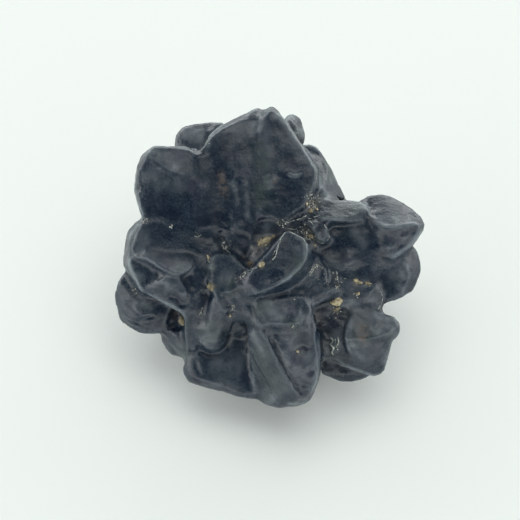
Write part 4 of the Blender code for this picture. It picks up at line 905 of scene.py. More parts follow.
# %% [markdown]
# ## Soft undulation and grain
#
# No face of the real stone is quite flat: it swells and sinks by a tenth of a millimetre over a few millimetres. That
# follows one rule all over, so a small Geometry Nodes tree does it, with its sizes as named inputs. Two noises move
# each point along its normal. Growth adds a third rule: bundles of crystal run out from the centre, so one noise is
# read on the heading from the centre alone, and it draws streaks that point outwards wherever a crystal's side shows.

# %% The relief tree
def new_tree(name, sizes):
    """A geometry tree with a mesh in, a mesh out and one number input for each size."""
    tree = bpy.data.node_groups.new(name, "GeometryNodeTree")
    tree.interface.new_socket("Mesh", in_out="INPUT", socket_type="NodeSocketGeometry")
    tree.interface.new_socket("Mesh", in_out="OUTPUT", socket_type="NodeSocketGeometry")
    for size in sizes:
        tree.interface.new_socket(size, in_out="INPUT", socket_type="NodeSocketFloat")
    return tree


def run_tree(obj, tree, sizes, name):
    """Puts the tree on the object with its sizes set, and gives the result as a plain mesh."""
    grow = obj.modifiers.new(name, "NODES")
    grow.node_group = tree
    for item in tree.interface.items_tree:
        if item.in_out == "INPUT" and item.name in sizes:
            grow[item.identifier] = sizes[item.name]
    mesh = baked_mesh(obj, name)
    obj.modifiers.remove(grow)
    return mesh


def finish_tree(tree, geometry, material):
    """Every tree ends alike: instances made real, the material set, and out."""
    real = add_node(tree, "GeometryNodeRealizeInstances", {"Geometry": geometry})
    dressed = add_node(tree, "GeometryNodeSetMaterial", {"Geometry": real.outputs["Geometry"], "Material": material})
    add_node(tree, "NodeGroupOutput", {"Mesh": dressed.outputs["Geometry"]})


#   line on the face in mm, half width: faces that the wind left even
EVEN = {
    "tongue": ([(8.4, 7.0), (14.0, 7.2)], 2.0),
    "right block top": ([(15.8, 7.4), (21.0, 6.2)], 2.2),
    "left block": ([(-17.5, 9.6), (-11.0, 9.0)], 3.0),
    "shoulder table": ([(-19.0, 2.6), (-11.0, 2.0)], 2.4),
    "foot plate": ([(-11.0, -16.2), (-4.0, -16.6)], 2.6),
    "petal": ([(3.4, 2.4), (2.0, -2.0)], 2.0),
}
EVENED = 0.8  # share of the relief that is gone there

spots, facing = face_view(stone.data)
even = np.zeros(len(spots))
for path, half_width in EVEN.values():
    even = np.maximum(even, line_strength(path, spots[:, :2], half_width))
layer = stone.data.attributes.new("even", "FLOAT", "POINT")
layer.data.foreach_set("value", 1.0 - EVENED * even * facing)

RELIEF = {
    "Swell size": 4.0,
    "Swell height": 0.27,
    "Knob size": 1.5,
    "Knob height": 0.12,
    "Streak spacing": 1.3,
    "Streak height": 0.08,
}
STREAK_RADIUS = 15.0  # mm from the centre, where the spacing is true

relief = new_tree("worn_relief", RELIEF)
sizes = add_node(relief, "NodeGroupInput").outputs


def wave(place, scale, height, detail):
    """A noise between minus half and half of the height."""
    noise_node = add_node(relief, "ShaderNodeTexNoise", {"Vector": place, "Scale": scale, "Detail": detail})
    centred = add_node(relief, "ShaderNodeMath", {0: noise_node.outputs["Fac"], 1: 0.5}, operation="SUBTRACT")
    return add_node(relief, "ShaderNodeMath", {0: centred.outputs["Value"], 1: height}, operation="MULTIPLY").outputs["Value"]


def per(size, unit):
    return add_node(relief, "ShaderNodeMath", {0: unit, 1: size}, operation="DIVIDE").outputs["Value"]


position = add_node(relief, "GeometryNodeInputPosition").outputs["Position"]
middle = face_to_table.translation * MM
outward = add_node(relief, "ShaderNodeVectorMath", {0: position, 1: middle}, operation="SUBTRACT")
heading = add_node(relief, "ShaderNodeVectorMath", {0: outward.outputs["Vector"]}, operation="NORMALIZE")
swell = wave(position, per(sizes["Swell size"], 1.0 / MM), sizes["Swell height"], 1.0)
knobs = wave(position, per(sizes["Knob size"], 1.0 / MM), sizes["Knob height"], 2.0)
streak = wave(heading.outputs["Vector"], per(sizes["Streak spacing"], STREAK_RADIUS), sizes["Streak height"], 2.0)
shift = add_node(relief, "ShaderNodeMath", {0: swell, 1: knobs}, operation="ADD").outputs["Value"]
shift = add_node(relief, "ShaderNodeMath", {0: shift, 1: streak}, operation="ADD").outputs["Value"]
kept = add_node(relief, "GeometryNodeInputNamedAttribute", {"Name": "even"}, data_type="FLOAT").outputs["Attribute"]
shift = add_node(relief, "ShaderNodeMath", {0: shift, 1: kept}, operation="MULTIPLY").outputs["Value"]
reach = add_node(relief, "ShaderNodeMath", {0: shift, 1: 2 * MM}, operation="MULTIPLY")
normal = add_node(relief, "GeometryNodeInputNormal")
offset = add_node(relief, "ShaderNodeVectorMath", {0: normal.outputs["Normal"], "Scale": reach.outputs["Value"]}, operation="SCALE")
moved = add_node(relief, "GeometryNodeSetPosition", {"Geometry": sizes["Mesh"], "Offset": offset.outputs["Vector"]})
finish_tree(relief, moved.outputs["Geometry"], goethite)
stone.data = run_tree(stone, relief, RELIEF, "stone_skin")
print("faces after the relief:", len(stone.data.polygons))
# %% [markdown]
# ## Where rust, dust and sand lie, and the painted highlights and shade
#
# Colour that belongs to a place is stored on the skin as a number for each vertex, from 0 to 1, and the material reads
# it by name. Shape gives two of them: how deep a point lies under the filled skin tells how sheltered it is, and how
# far a point stands out from its own smoothed surroundings tells where an edge is rubbed and gets a painted highlight.
# Crusts, tints and sand that belong to one place on the face are given there as lines and spots, as the marks were,
# and so are painted highlights on rims, painted sheen and painted shade.

# %% Hollows, and rubbed edges with a painted highlight
HOLLOW_DEPTH = 1.6  # mm below the filled skin that counts as fully sheltered
EDGE_STEPS = 14  # smoothing steps that take an edge away
EDGE_HEIGHT = 0.10  # mm above its smoothed surroundings that counts as a full edge

points = read_points(stone.data)
normals = read_vectors(stone.data.vertex_normals, "vector", len(points))
ends = read_edges(stone.data)
_, below = under_lid(points)
cavity = np.clip(below / MM / HOLLOW_DEPTH, 0.0, 1.0)
standing = ((points - relaxed(points, ends, 0.5, EDGE_STEPS)) * normals).sum(axis=1) / MM
edge = np.clip((standing - 0.25 * EDGE_HEIGHT) / EDGE_HEIGHT, 0.0, 1.0)
print("share of the skin in hollows:", round(float((cavity > 0.5).mean()), 3))
print("share of the skin on edges:", round(float((edge > 0.5).mean()), 3))

# %% Crusts, tints, sand, painted highlights, painted sheen and painted shade seen on the face
#   line on the face in mm, half width
CRUSTS = {
    "ochre": [
        ([(-2.0, 1.9), (-0.8, 2.5), (0.0, 2.9)], 0.55),
        ([(-1.8, -1.2), (-0.9, -0.9)], 0.40),
        ([(-8.8, -4.3)], 0.45),
        ([(9.5, -6.4), (10.0, -6.9)], 0.55),
        ([(12.4, -3.4), (13.2, -3.7)], 0.35),
        ([(13.9, -3.8), (14.8, -3.8)], 0.22),
        ([(9.7, -7.9)], 0.35),
    ],
    "brown": [
        ([(-7.6, 13.2), (-7.3, 11.8), (-6.9, 10.2), (-6.6, 8.6)], 0.60),
        ([(0.5, 11.4)], 0.45),
        ([(13.2, -9.4), (13.7, -11.4), (13.4, -13.2)], 0.90),
        ([(-3.0, 0.9), (-1.0, 1.2)], 0.90),
        ([(-3.6, -1.2), (-2.6, -0.4)], 0.60),
        ([(5.8, 8.6), (6.2, 7.0)], 0.90),
        ([(4.4, 4.0), (6.2, 3.0)], 0.70),
    ],
    "sand": [
        ([(5.6, 9.8), (6.0, 8.4), (6.6, 6.6)], 0.85),
        ([(6.8, 9.4), (7.2, 8.0)], 0.60),
        ([(0.8, 5.4), (2.2, 4.6)], 0.50),
        ([(4.0, 4.4), (5.6, 3.4), (6.8, 2.4)], 0.75),
        ([(5.7, -2.7), (6.4, -1.6), (7.6, -0.8)], 0.45),
        ([(9.6, -1.8), (9.8, -3.2), (10.0, -5.0)], 0.35),
        ([(12.4, -5.6), (13.0, -5.2)], 0.50),
        ([(9.2, -7.6), (10.4, -8.0)], 0.60),
        ([(-10.0, -7.4), (-10.4, -8.8)], 0.30),
        ([(-5.9, -8.4), (-5.2, -7.0)], 0.35),
        ([(-20.8, -4.4), (-19.8, -5.4)], 0.50),
        ([(3.4, -9.7), (3.2, -10.6)], 0.35),
        ([(3.4, -6.4)], 0.30),
        ([(-19.0, 5.7), (-18.0, 5.2)], 0.40),
        ([(-15.1, 4.4), (-14.4, 4.7)], 0.25),
        ([(-11.3, 3.5), (-10.2, 3.2)], 0.25),
        ([(-7.2, 2.2), (-6.4, 1.0)], 0.35),
        ([(-9.3, 0.2), (-8.9, -0.6)], 0.35),
        ([(-3.2, -2.0), (-5.6, -3.8)], 0.30),
        ([(4.0, -13.9)], 0.35),
        ([(-9.9, 16.8), (-9.2, 17.4)], 0.25),
    ],
    "dust": [
        ([(5.2, 8.0), (6.4, 4.4)], 1.9),
        ([(6.4, -2.4), (9.8, -3.2), (12.8, -4.6)], 1.8),
        ([(8.0, -8.4), (10.4, -9.2), (9.2, -11.2)], 1.7),
        ([(2.4, -8.4), (3.4, -10.6)], 1.0),
        ([(-6.6, -5.4), (-5.6, -7.4)], 1.2),
        ([(-4.6, -2.6), (-2.4, -1.2)], 0.9),
        ([(-20.4, -5.0)], 1.2),
        ([(-6.4, 1.6)], 1.0),
        ([(1.2, 5.0)], 1.0),
    ],
    # painted highlights along the rims
    "painted_rim_highlight": [
        ([(0.6, 21.9), (1.9, 20.4), (3.2, 18.3), (4.7, 15.9), (5.9, 14.2), (6.8, 12.8)], 0.30),
        ([(-4.6, 20.8), (-2.8, 21.8), (-1.4, 22.2), (0.2, 22.3)], 0.25),
        ([(-6.8, 19.8), (-8.2, 19.0), (-9.2, 17.9), (-9.8, 16.8), (-10.8, 15.8)], 0.26),
        ([(-14.2, 16.4), (-12.6, 16.4), (-11.6, 16.0), (-10.8, 15.6)], 0.22),
        ([(-19.9, 14.9), (-20.4, 12.6), (-20.3, 10.0), (-19.8, 8.6)], 0.24),
        ([(-19.8, 8.8), (-19.3, 7.2), (-18.7, 6.0)], 0.22),
        ([(-21.2, 0.4), (-20.9, -1.2), (-20.2, -2.9), (-19.4, -4.5), (-18.9, -5.2)], 0.30),
        ([(-18.6, -5.3), (-17.0, -6.0), (-15.6, -6.7), (-14.2, -7.4), (-13.0, -8.2), (-12.3, -9.2)], 0.20),
        ([(-21.4, 2.6), (-20.2, 4.4), (-19.2, 5.2)], 0.26),
        ([(-2.6, -16.6), (-2.6, -18.6), (-2.3, -20.6)], 0.20),
        ([(7.0, -11.6), (7.2, -13.8), (7.1, -16.4), (6.7, -18.6), (6.0, -20.4)], 0.24),
        ([(2.2, -21.8), (4.6, -21.8), (5.8, -20.9)], 0.22),
        ([(13.3, -7.4), (12.3, -8.3), (11.6, -9.7), (11.2, -11.4), (11.3, -12.9), (12.2, -14.6)], 0.20),
        ([(14.6, -7.6), (16.4, -8.4), (18.2, -9.2), (19.2, -10.4)], 0.22),
        ([(9.4, -14.9), (10.8, -15.9), (12.2, -16.5), (13.6, -17.0), (15.4, -17.7), (16.6, -17.2)], 0.20),
        ([(17.0, 0.4), (18.3, 0.0), (19.6, 1.0), (21.0, 2.2), (22.6, 4.3)], 0.28),
        ([(15.2, 5.6), (16.7, 4.7), (18.2, 4.5), (20.2, 4.8), (22.2, 5.2)], 0.28),
        ([(9.8, 8.5), (11.6, 8.3), (13.4, 8.0), (14.6, 7.4), (14.9, 6.4)], 0.26),
        ([(6.6, 6.0), (8.2, 5.8), (9.8, 5.6), (11.2, 5.8)], 0.20),
        ([(7.2, 12.6), (7.3, 10.8), (8.0, 9.4), (9.4, 8.8)], 0.30),
        ([(5.0, 17.0), (6.6, 16.6), (7.6, 15.8)], 0.26),
        ([(2.2, 20.8), (3.0, 21.4), (3.8, 21.3)], 0.24),
        ([(4.4, 19.6), (4.8, 18.0)], 0.5),
        ([(4.9, 1.6), (5.0, 0.2), (4.2, -1.5), (2.6, -3.0), (0.8, -4.1)], 0.24),
        ([(3.0, 4.0), (4.6, 3.2), (5.8, 1.6)], 0.18),
    ],
    # painted shade: faces and creases that lie in shade or mirror the dark side of the room
    "painted_shade": [
        ([(-10.2, -8.8), (-10.1, -11.0)], 0.9),
        ([(18.6, 8.2), (20.8, 6.9)], 0.7),
        ([(22.7, 5.2), (22.2, 4.0)], 0.5),
        ([(14.9, 7.6), (15.2, 5.8)], 0.3),
        ([(16.4, 2.8), (17.0, 3.4), (18.6, 3.8)], 0.6),
        ([(-11.8, -17.4), (-10.6, -18.9), (-7.0, -19.5), (-3.8, -20.4)], 0.55),
        ([(-3.6, -14.6), (-3.4, -17.0), (-3.4, -19.6)], 0.45),
        ([(2.2, 3.7), (1.2, 1.4), (-0.2, -0.8), (-2.4, -1.4), (-3.4, -2.4)], 0.45),
        ([(16.7, -2.4), (16.9, -5.0)], 0.9),
        ([(-7.2, 18.0), (-6.6, 14.0)], 1.2),
        ([(-10.0, 14.6)], 0.9),
        ([(-11.4, 5.0), (-8.0, 5.6), (-8.0, 8.0)], 1.4),
        ([(-19.0, 6.6), (-13.0, 6.6)], 0.9),
        ([(-10.4, 3.0), (-8.6, 1.4)], 1.0),
        ([(-5.0, 3.4), (-1.4, 3.2)], 0.9),
        ([(1.8, 3.4), (1.6, 0.8)], 0.7),
        ([(-4.4, -1.8), (-3.4, -5.2)], 1.4),
        ([(-13.8, -5.0), (-13.6, -8.0)], 0.9),
        ([(-9.0, -5.0), (-9.8, -7.6), (-10.0, -9.8)], 0.9),
        ([(-19.4, -9.9), (-15.6, -9.9)], 0.8),
        ([(6.2, 15.8), (8.0, 14.0)], 0.9),
        ([(1.6, 14.4), (4.6, 14.0)], 1.0),
        ([(1.4, 11.0), (2.6, 8.0)], 1.2),
        ([(6.1, 10.4), (6.0, 8.8)], 0.6),
        ([(7.4, 5.6), (8.6, 3.4)], 1.0),
        ([(12.2, -1.0), (14.2, -0.8)], 0.8),
        ([(16.4, 1.2), (16.4, -0.6)], 0.8),
        ([(16.3, -3.0), (15.9, -5.8)], 0.8),
        ([(21.1, 0.8), (21.6, -2.4)], 0.6),
        ([(8.2, -1.4), (6.6, -2.4)], 0.8),
        ([(7.8, -5.2), (8.0, -8.6)], 1.0),
        ([(0.4, -6.8), (1.6, -8.8)], 0.8),
        ([(6.0, -9.8)], 0.9),
        ([(9.0, -14.4), (10.8, -14.6)], 0.7),
        ([(2.6, -18.4), (5.4, -17.0)], 0.9),
        ([(4.8, -21.2)], 0.8),
        ([(7.6, -16.8), (12.4, -18.0)], 0.8),
        ([(-12.8, -11.6), (-12.4, -13.4)], 0.7),
    ],
    # pale patina, and painted highlights on lit rims and faces
    "pale": [
        ([(9.4, -12.0), (9.5, -14.4)], 0.6),
        ([(4.6, 4.0), (6.2, 3.3)], 0.6),
        ([(13.2, -10.0), (13.8, -12.0)], 0.8),
        ([(14.8, -10.2), (16.2, -11.4)], 0.8),
        ([(19.4, -0.4), (20.6, -1.6)], 0.6),
        ([(20.0, -4.2), (18.8, -4.8)], 0.7),
        ([(-20.1, -2.0), (-19.2, -3.8)], 0.7),
        ([(5.2, 2.4), (5.7, 0.6)], 0.5),
        ([(-13.6, 18.8), (-11.8, 18.4)], 0.8),
        ([(-9.7, 16.9), (-8.8, 16.4)], 0.6),
        ([(17.4, 1.6), (17.8, 1.4)], 0.55),
        ([(19.6, 3.0), (20.2, 2.8)], 0.55),
        ([(9.6, 8.1), (12.0, 8.1), (14.0, 7.5)], 0.5),
        ([(13.4, -7.9), (12.4, -8.8), (11.8, -10.4), (11.8, -12.2), (12.8, -14.2), (14.4, -15.6)], 0.35),
        ([(15.0, -8.5), (17.0, -9.2), (18.4, -10.0)], 0.6),
        ([(18.9, -10.9), (18.0, -12.6), (17.6, -14.6), (17.0, -16.8)], 0.3),
        ([(-2.9, -10.4), (-2.0, -12.6), (-0.8, -14.8)], 0.4),
        ([(-1.6, -6.8), (0.6, -6.6)], 0.5),
        ([(-10.2, -11.6), (-9.6, -13.0), (-8.4, -13.4)], 0.4),
        ([(7.4, 8.9), (8.4, 8.2)], 0.7),
        ([(-12.6, -1.2), (-11.6, -2.2)], 0.8),
        ([(1.8, -13.4), (2.6, -15.6), (3.8, -16.6)], 0.7),
        ([(3.4, 19.0), (4.4, 17.6)], 0.9),
        ([(-18.4, 15.2), (-16.4, 16.0)], 0.8),
        ([(12.4, 8.0), (14.6, 7.0)], 0.9),
        ([(11.2, -7.6), (12.0, -10.4)], 0.9),
        ([(16.0, -10.4), (18.6, -10.0)], 0.9),
        ([(19.4, -1.0), (19.9, -3.6)], 0.7),
        ([(-19.4, -6.6), (-17.6, -8.2)], 0.7),
        ([(-4.6, -10.2), (-3.8, -11.2)], 0.6),
        ([(-5.8, 11.4), (-5.0, 9.6)], 0.5),
        ([(-2.4, 20.4), (-1.8, 18.4)], 0.8),
        ([(14.6, 6.2), (16.4, 5.7), (19.4, 5.7)], 1.0),
        ([(-18.2, 15.6), (-17.0, 16.0)], 0.7),
        ([(-1.0, -6.6), (0.2, -7.8), (2.4, -8.8)], 1.2),
        ([(4.2, 19.6), (4.6, 18.0)], 0.7),
        ([(-12.6, 18.6), (-9.8, 18.2)], 1.0),
        ([(0.4, 21.4), (2.2, 19.8)], 0.5),
        ([(-15.2, -1.7), (-13.6, -1.6), (-12.2, -1.5)], 0.7),
        ([(-8.7, -0.8), (-8.8, -1.9)], 0.6),
        ([(10.2, -1.0), (9.8, -1.8)], 0.7),
        ([(12.4, -6.2), (11.8, -8.8)], 1.2),
        ([(16.2, -10.2), (15.0, -10.8)], 0.9),
        ([(10.0, -10.2), (9.6, -12.4)], 0.8),
        ([(-3.0, -13.2), (-4.0, -14.6)], 0.8),
        ([(0.6, -21.6), (-0.4, -20.6)], 0.9),
        ([(-14.6, 13.6), (-13.4, 13.0)], 0.7),
        ([(-0.4, 12.6), (0.0, 9.8)], 0.8),
        ([(3.0, 12.2), (4.2, 12.2)], 0.4),
        ([(17.7, -14.4), (17.2, -16.2)], 0.5),
        ([(7.8, 9.6), (8.6, 8.8)], 0.6),
        ([(5.0, -14.4), (6.2, -15.2)], 0.9),
        ([(-9.6, -12.2), (-7.8, -12.4)], 0.6),
    ],
    # grey film, and painted sheen on faces that catch the light
    "haze_and_painted_sheen": [
        ([(3.6, 1.8), (4.4, -0.6)], 0.9),
        ([(-19.6, 4.2), (-18.6, 1.4)], 1.1),
        ([(-3.7, 11.8), (-3.5, 8.4), (-3.3, 5.0)], 0.32),
        ([(-5.2, 10.4), (-4.9, 7.4)], 0.25),
        ([(-1.0, 18.4), (-0.5, 16.0), (0.3, 13.4)], 0.3),
        ([(-9.4, -15.6), (-4.0, -17.0)], 2.0),
        ([(-9.0, -17.8), (-4.4, -19.4)], 1.0),
        ([(-22.8, -5.4), (-22.4, -8.4), (-20.4, -10.2)], 0.9),
        ([(12.6, -12.6), (15.2, -13.6)], 1.2),
        ([(-13.7, 12.2), (-13.2, 9.6)], 1.2),
        ([(-20.2, 3.4), (-18.8, 2.0)], 1.0),
        ([(-15.8, -3.8), (-12.8, -4.2)], 0.9),
        ([(18.0, -1.6), (19.2, -3.4)], 1.1),
        ([(-18.8, 12.8), (-16.4, 11.2), (-14.4, 11.2)], 1.3),
        ([(1.8, 20.2), (3.6, 17.2), (5.6, 13.8)], 1.0),
        ([(2.6, 12.2), (4.4, 12.2)], 0.45),
        ([(-10.6, -18.9), (-7.0, -19.2)], 0.5),
        ([(-15.4, -1.6), (-12.4, -1.6)], 0.8),
        ([(12.4, -9.0), (14.0, -8.6), (16.6, -9.8)], 1.2),
        ([(14.2, -12.4), (12.4, -11.6)], 1.2),
        ([(5.4, -13.6), (6.2, -16.0)], 0.9),
        ([(-0.6, -20.6), (1.4, -21.6)], 0.9),
        ([(-6.2, 19.2), (-4.6, 18.8), (-4.4, 16.8)], 1.0),
        ([(-2.6, 20.6), (-1.4, 19.4), (-0.7, 16.6), (-0.6, 12.6)], 1.0),
        ([(-17.0, 15.4), (-15.6, 14.9), (-13.8, 13.4)], 0.9),
        ([(-18.8, 12.8), (-18.4, 10.8)], 1.2),
        ([(-20.4, 1.8), (-18.6, 0.5), (-15.0, -0.8), (-12.4, -0.9)], 0.9),
        ([(-8.7, -1.0), (-8.8, -2.0)], 0.7),
        ([(-0.4, 5.6), (-0.6, 2.0)], 0.7),
        ([(11.6, 4.6), (12.6, 3.4), (14.4, 1.4)], 0.8),
        ([(11.0, 0.2), (9.8, -1.4)], 0.9),
        ([(11.6, -3.0), (12.4, -5.2), (11.4, -8.4)], 1.4),
        ([(13.0, -9.6), (12.8, -12.6)], 1.4),
        ([(9.8, -10.6), (9.4, -12.6)], 0.7),
        ([(-1.4, -6.6), (0.8, -8.4), (3.0, -9.0)], 1.1),
        ([(1.4, -10.8), (3.0, -12.4), (4.4, -15.2)], 1.3),
        ([(-1.0, -19.4), (0.2, -21.8)], 1.2),
        ([(-2.6, -10.6), (-2.8, -12.6)], 0.6),
        ([(3.8, 20.0), (4.5, 18.0)], 0.8),
        ([(7.6, 9.0), (9.0, 8.2)], 0.7),
        ([(6.2, 3.4), (7.6, 1.8)], 0.8),
        ([(17.6, -13.6), (17.0, -16.0)], 0.9),
        ([(-2.4, -7.6), (1.0, -7.8)], 1.8),
        ([(4.2, -14.4), (5.0, -18.8)], 1.5),
        ([(0.6, -17.0), (2.4, -20.4)], 1.0),
        ([(-2.6, -11.4), (0.2, -16.0)], 0.8),
        ([(13.0, -9.4), (16.6, -10.0)], 1.8),
        ([(13.0, -13.4), (15.4, -15.6)], 1.3),
        ([(-7.6, -2.6), (-5.6, -3.4)], 1.3),
        ([(-7.2, -6.0), (-6.6, -7.4)], 0.7),
        ([(-16.4, -0.8), (-12.4, -1.9)], 0.8),
        ([(-9.2, -11.0), (-8.6, -12.8)], 1.1),
        ([(18.6, -1.6), (20.2, -3.4)], 1.0),
        ([(-20.2, -6.4), (-19.8, -8.0)], 1.0),
        ([(-13.6, -12.6), (-12.6, -16.4)], 0.8),
        ([(-3.4, 17.6), (-2.6, 20.2)], 1.0),
        ([(-7.0, 19.0), (-4.0, 20.2)], 0.8),
        ([(-12.4, 18.8), (-9.8, 18.6)], 1.2),
        ([(8.4, 13.6), (9.2, 10.6)], 1.1),
        ([(3.4, -9.2), (6.0, -8.6)], 1.0),
        ([(14.6, -5.4), (15.2, -6.8)], 0.9),
    ],
    "green": [
        ([(13.2, -9.0), (14.4, -12.6)], 1.6),
        ([(-1.6, 18.0), (-1.2, 12.0), (-1.6, 6.0)], 1.4),
        ([(8.0, 15.0), (8.6, 11.0)], 1.6),
        ([(3.6, 20.0), (4.4, 18.0)], 1.0),
        ([(8.6, 7.4), (13.6, 7.2)], 1.4),
        ([(-9.0, -9.0), (-8.4, -12.6)], 1.5),
        ([(-6.4, -3.0), (-5.0, -6.0)], 1.2),
        ([(-2.6, -7.2), (-0.4, -8.2)], 1.3),
        ([(-2.4, -13.0), (0.0, -18.0), (1.0, -21.0)], 1.4),
        ([(4.6, 0.6), (3.4, -3.0)], 1.1),
        ([(-8.8, -1.8)], 0.8),
        ([(1.6, -9.2), (4.4, -10.8)], 1.0),
        ([(-13.6, -12.2), (-12.6, -16.0)], 1.0),
    ],
    "mauve": [
        ([(-4.2, -2.6), (-3.2, -5.2)], 1.1),
        ([(1.6, -10.8), (3.0, -11.6)], 1.2),
        ([(-10.4, 11.6), (-12.4, 9.4)], 1.4),
        ([(2.2, -12.4), (4.6, -16.4), (5.2, -19.0)], 1.3),
        ([(11.6, -0.2)], 1.1),
        ([(17.2, 2.6), (20.4, 3.6)], 1.4),
        ([(-14.4, 15.0), (-12.6, 14.6)], 1.2),
        ([(14.6, -13.6), (16.2, -15.0)], 1.4),
        ([(-16.4, 0.0), (-14.0, -1.8)], 1.2),
        ([(9.4, -9.6)], 1.6),
    ],
}

spots, facing = face_view(stone.data)
painted = {"cavity": cavity, "edge": edge}
for name, places in CRUSTS.items():
    strength = np.zeros(len(spots))
    for path, half_width in places:
        strength = np.maximum(strength, line_strength(path, spots[:, :2], half_width))
    painted[name] = strength * facing
for name, strength in painted.items():
    layer = stone.data.attributes.new(name, "FLOAT", "POINT")
    layer.data.foreach_set("value", strength)
    print(name, "covers", round(100 * float((strength > 0.5).mean()), 2), "% of the skin")

# %% [markdown]
# ## Grains caught in the crevices
#
# Sand is hundreds of small loose shapes on a surface, which is what Geometry Nodes are for: points are scattered on
# the skin where the stored number is high, a faceted grain is put on each with its own size and turn, and a random
# tone is stored for the material. The same tree makes the crumbs of the ochre crust from other sizes.

# %% The scatter tree
def scatter_tree(name, where, material, sizes, seed):
    tree = new_tree(name, sizes)
    given = add_node(tree, "NodeGroupInput").outputs
    mask = add_node(tree, "GeometryNodeInputNamedAttribute", {"Name": where}, data_type="FLOAT")
    sharp = add_node(tree, "ShaderNodeMath", {0: mask.outputs["Attribute"], 1: 2.0}, operation="POWER")
    density = add_node(tree, "ShaderNodeMath", {0: sharp.outputs["Value"], 1: given["Grains per mm2"]}, operation="MULTIPLY")
    density = add_node(tree, "ShaderNodeMath", {0: density.outputs["Value"], 1: 1e6}, operation="MULTIPLY")
    points = add_node(
        tree,
        "GeometryNodeDistributePointsOnFaces",
        {"Mesh": given["Mesh"], "Density": density.outputs["Value"], "Seed": seed},
    )
    grain = add_node(tree, "GeometryNodeMeshIcoSphere", {"Radius": 0.5 * MM, "Subdivisions": 1})
    turn = add_node(
        tree,
        "FunctionNodeRandomValue",
        {0: (0.0, 0.0, 0.0), 1: (6.28, 6.28, 6.28), "Seed": seed + 1},
        data_type="FLOAT_VECTOR",
    )
    size = add_node(tree, "FunctionNodeRandomValue", {2: given["Smallest"], 3: given["Largest"], "Seed": seed + 2}, data_type="FLOAT")
    squash = add_node(
        tree,
        "FunctionNodeRandomValue",
        {0: (0.7, 0.7, 0.6), 1: (1.3, 1.1, 1.0), "Seed": seed + 3},
        data_type="FLOAT_VECTOR",
    )
    scale = add_node(tree, "ShaderNodeVectorMath", {0: squash.outputs[0], "Scale": size.outputs[1]}, operation="SCALE")
    grains = add_node(
        tree,
        "GeometryNodeInstanceOnPoints",
        {
            "Points": points.outputs["Points"],
            "Instance": grain.outputs["Mesh"],
            "Rotation": turn.outputs[0],
            "Scale": scale.outputs["Vector"],
        },
    )
    tone = add_node(tree, "FunctionNodeRandomValue", {2: 0.0, 3: 1.0, "Seed": seed + 4}, data_type="FLOAT")
    toned = add_node(
        tree,
        "GeometryNodeStoreNamedAttribute",
        {"Geometry": grains.outputs["Instances"], "Name": "tone", "Value": tone.outputs[1]},
        data_type="FLOAT",
        domain="INSTANCE",
    )
    finish_tree(tree, toned.outputs["Geometry"], material)
    return tree


def scattered(name, where, material, sizes, seed):
    mesh = run_tree(stone, scatter_tree(name + "_tree", where, material, sizes, seed), sizes, name)
    piece = bpy.data.objects.new(name, mesh)
    bpy.context.scene.collection.objects.link(piece)
    print(name, "has", len(mesh.polygons) // 20, "grains")
    return piece


SAND = {"Grains per mm2": 22.0, "Smallest": 0.08, "Largest": 0.27}  # grain sizes in mm
CRUMBS = {"Grains per mm2": 14.0, "Smallest": 0.10, "Largest": 0.40}
crevice_sand = scattered("crevice_sand", "sand", sand, SAND, 21)
ochre_crust = scattered("ochre_crust", "ochre", ochre, CRUMBS, 41)

# %% [markdown]
# ## Crumbs and thin seams
#
# A few crumbs are big enough to be seen one by one: a round tan ball in the left valley, a pale crumb over the hole,
# a worn sheet of ochre in the crevice. Each is a small ball squashed to its own three sizes and roughened, set on
# the skin where a ray from the front meets it. The same ray finds the places of the seams, the thin pale edges of
# mineral film that stand along some rims. A seam is a tube of a tenth of a millimetre that swells, thins and breaks.

# %% Where the skin lies under a spot of the face
skin_tree = BVHTree.FromPolygons([v.co for v in stone.data.vertices], [p.vertices for p in stone.data.polygons])
face_turn = face_to_table.to_3x3()


def on_skin(x, y):
    start = (face_to_table @ Vector((x, y, 30.0))) * MM
    return skin_tree.ray_cast(start, face_turn @ Vector((0.0, 0.0, -1.0)))[0]


def add_piece(name, mesh, material):
    mesh.materials.clear()
    mesh.materials.append(material)
    piece = bpy.data.objects.new(name, mesh)
    bpy.context.scene.collection.objects.link(piece)
    print(name, "has", len(mesh.polygons), "faces")
    return piece


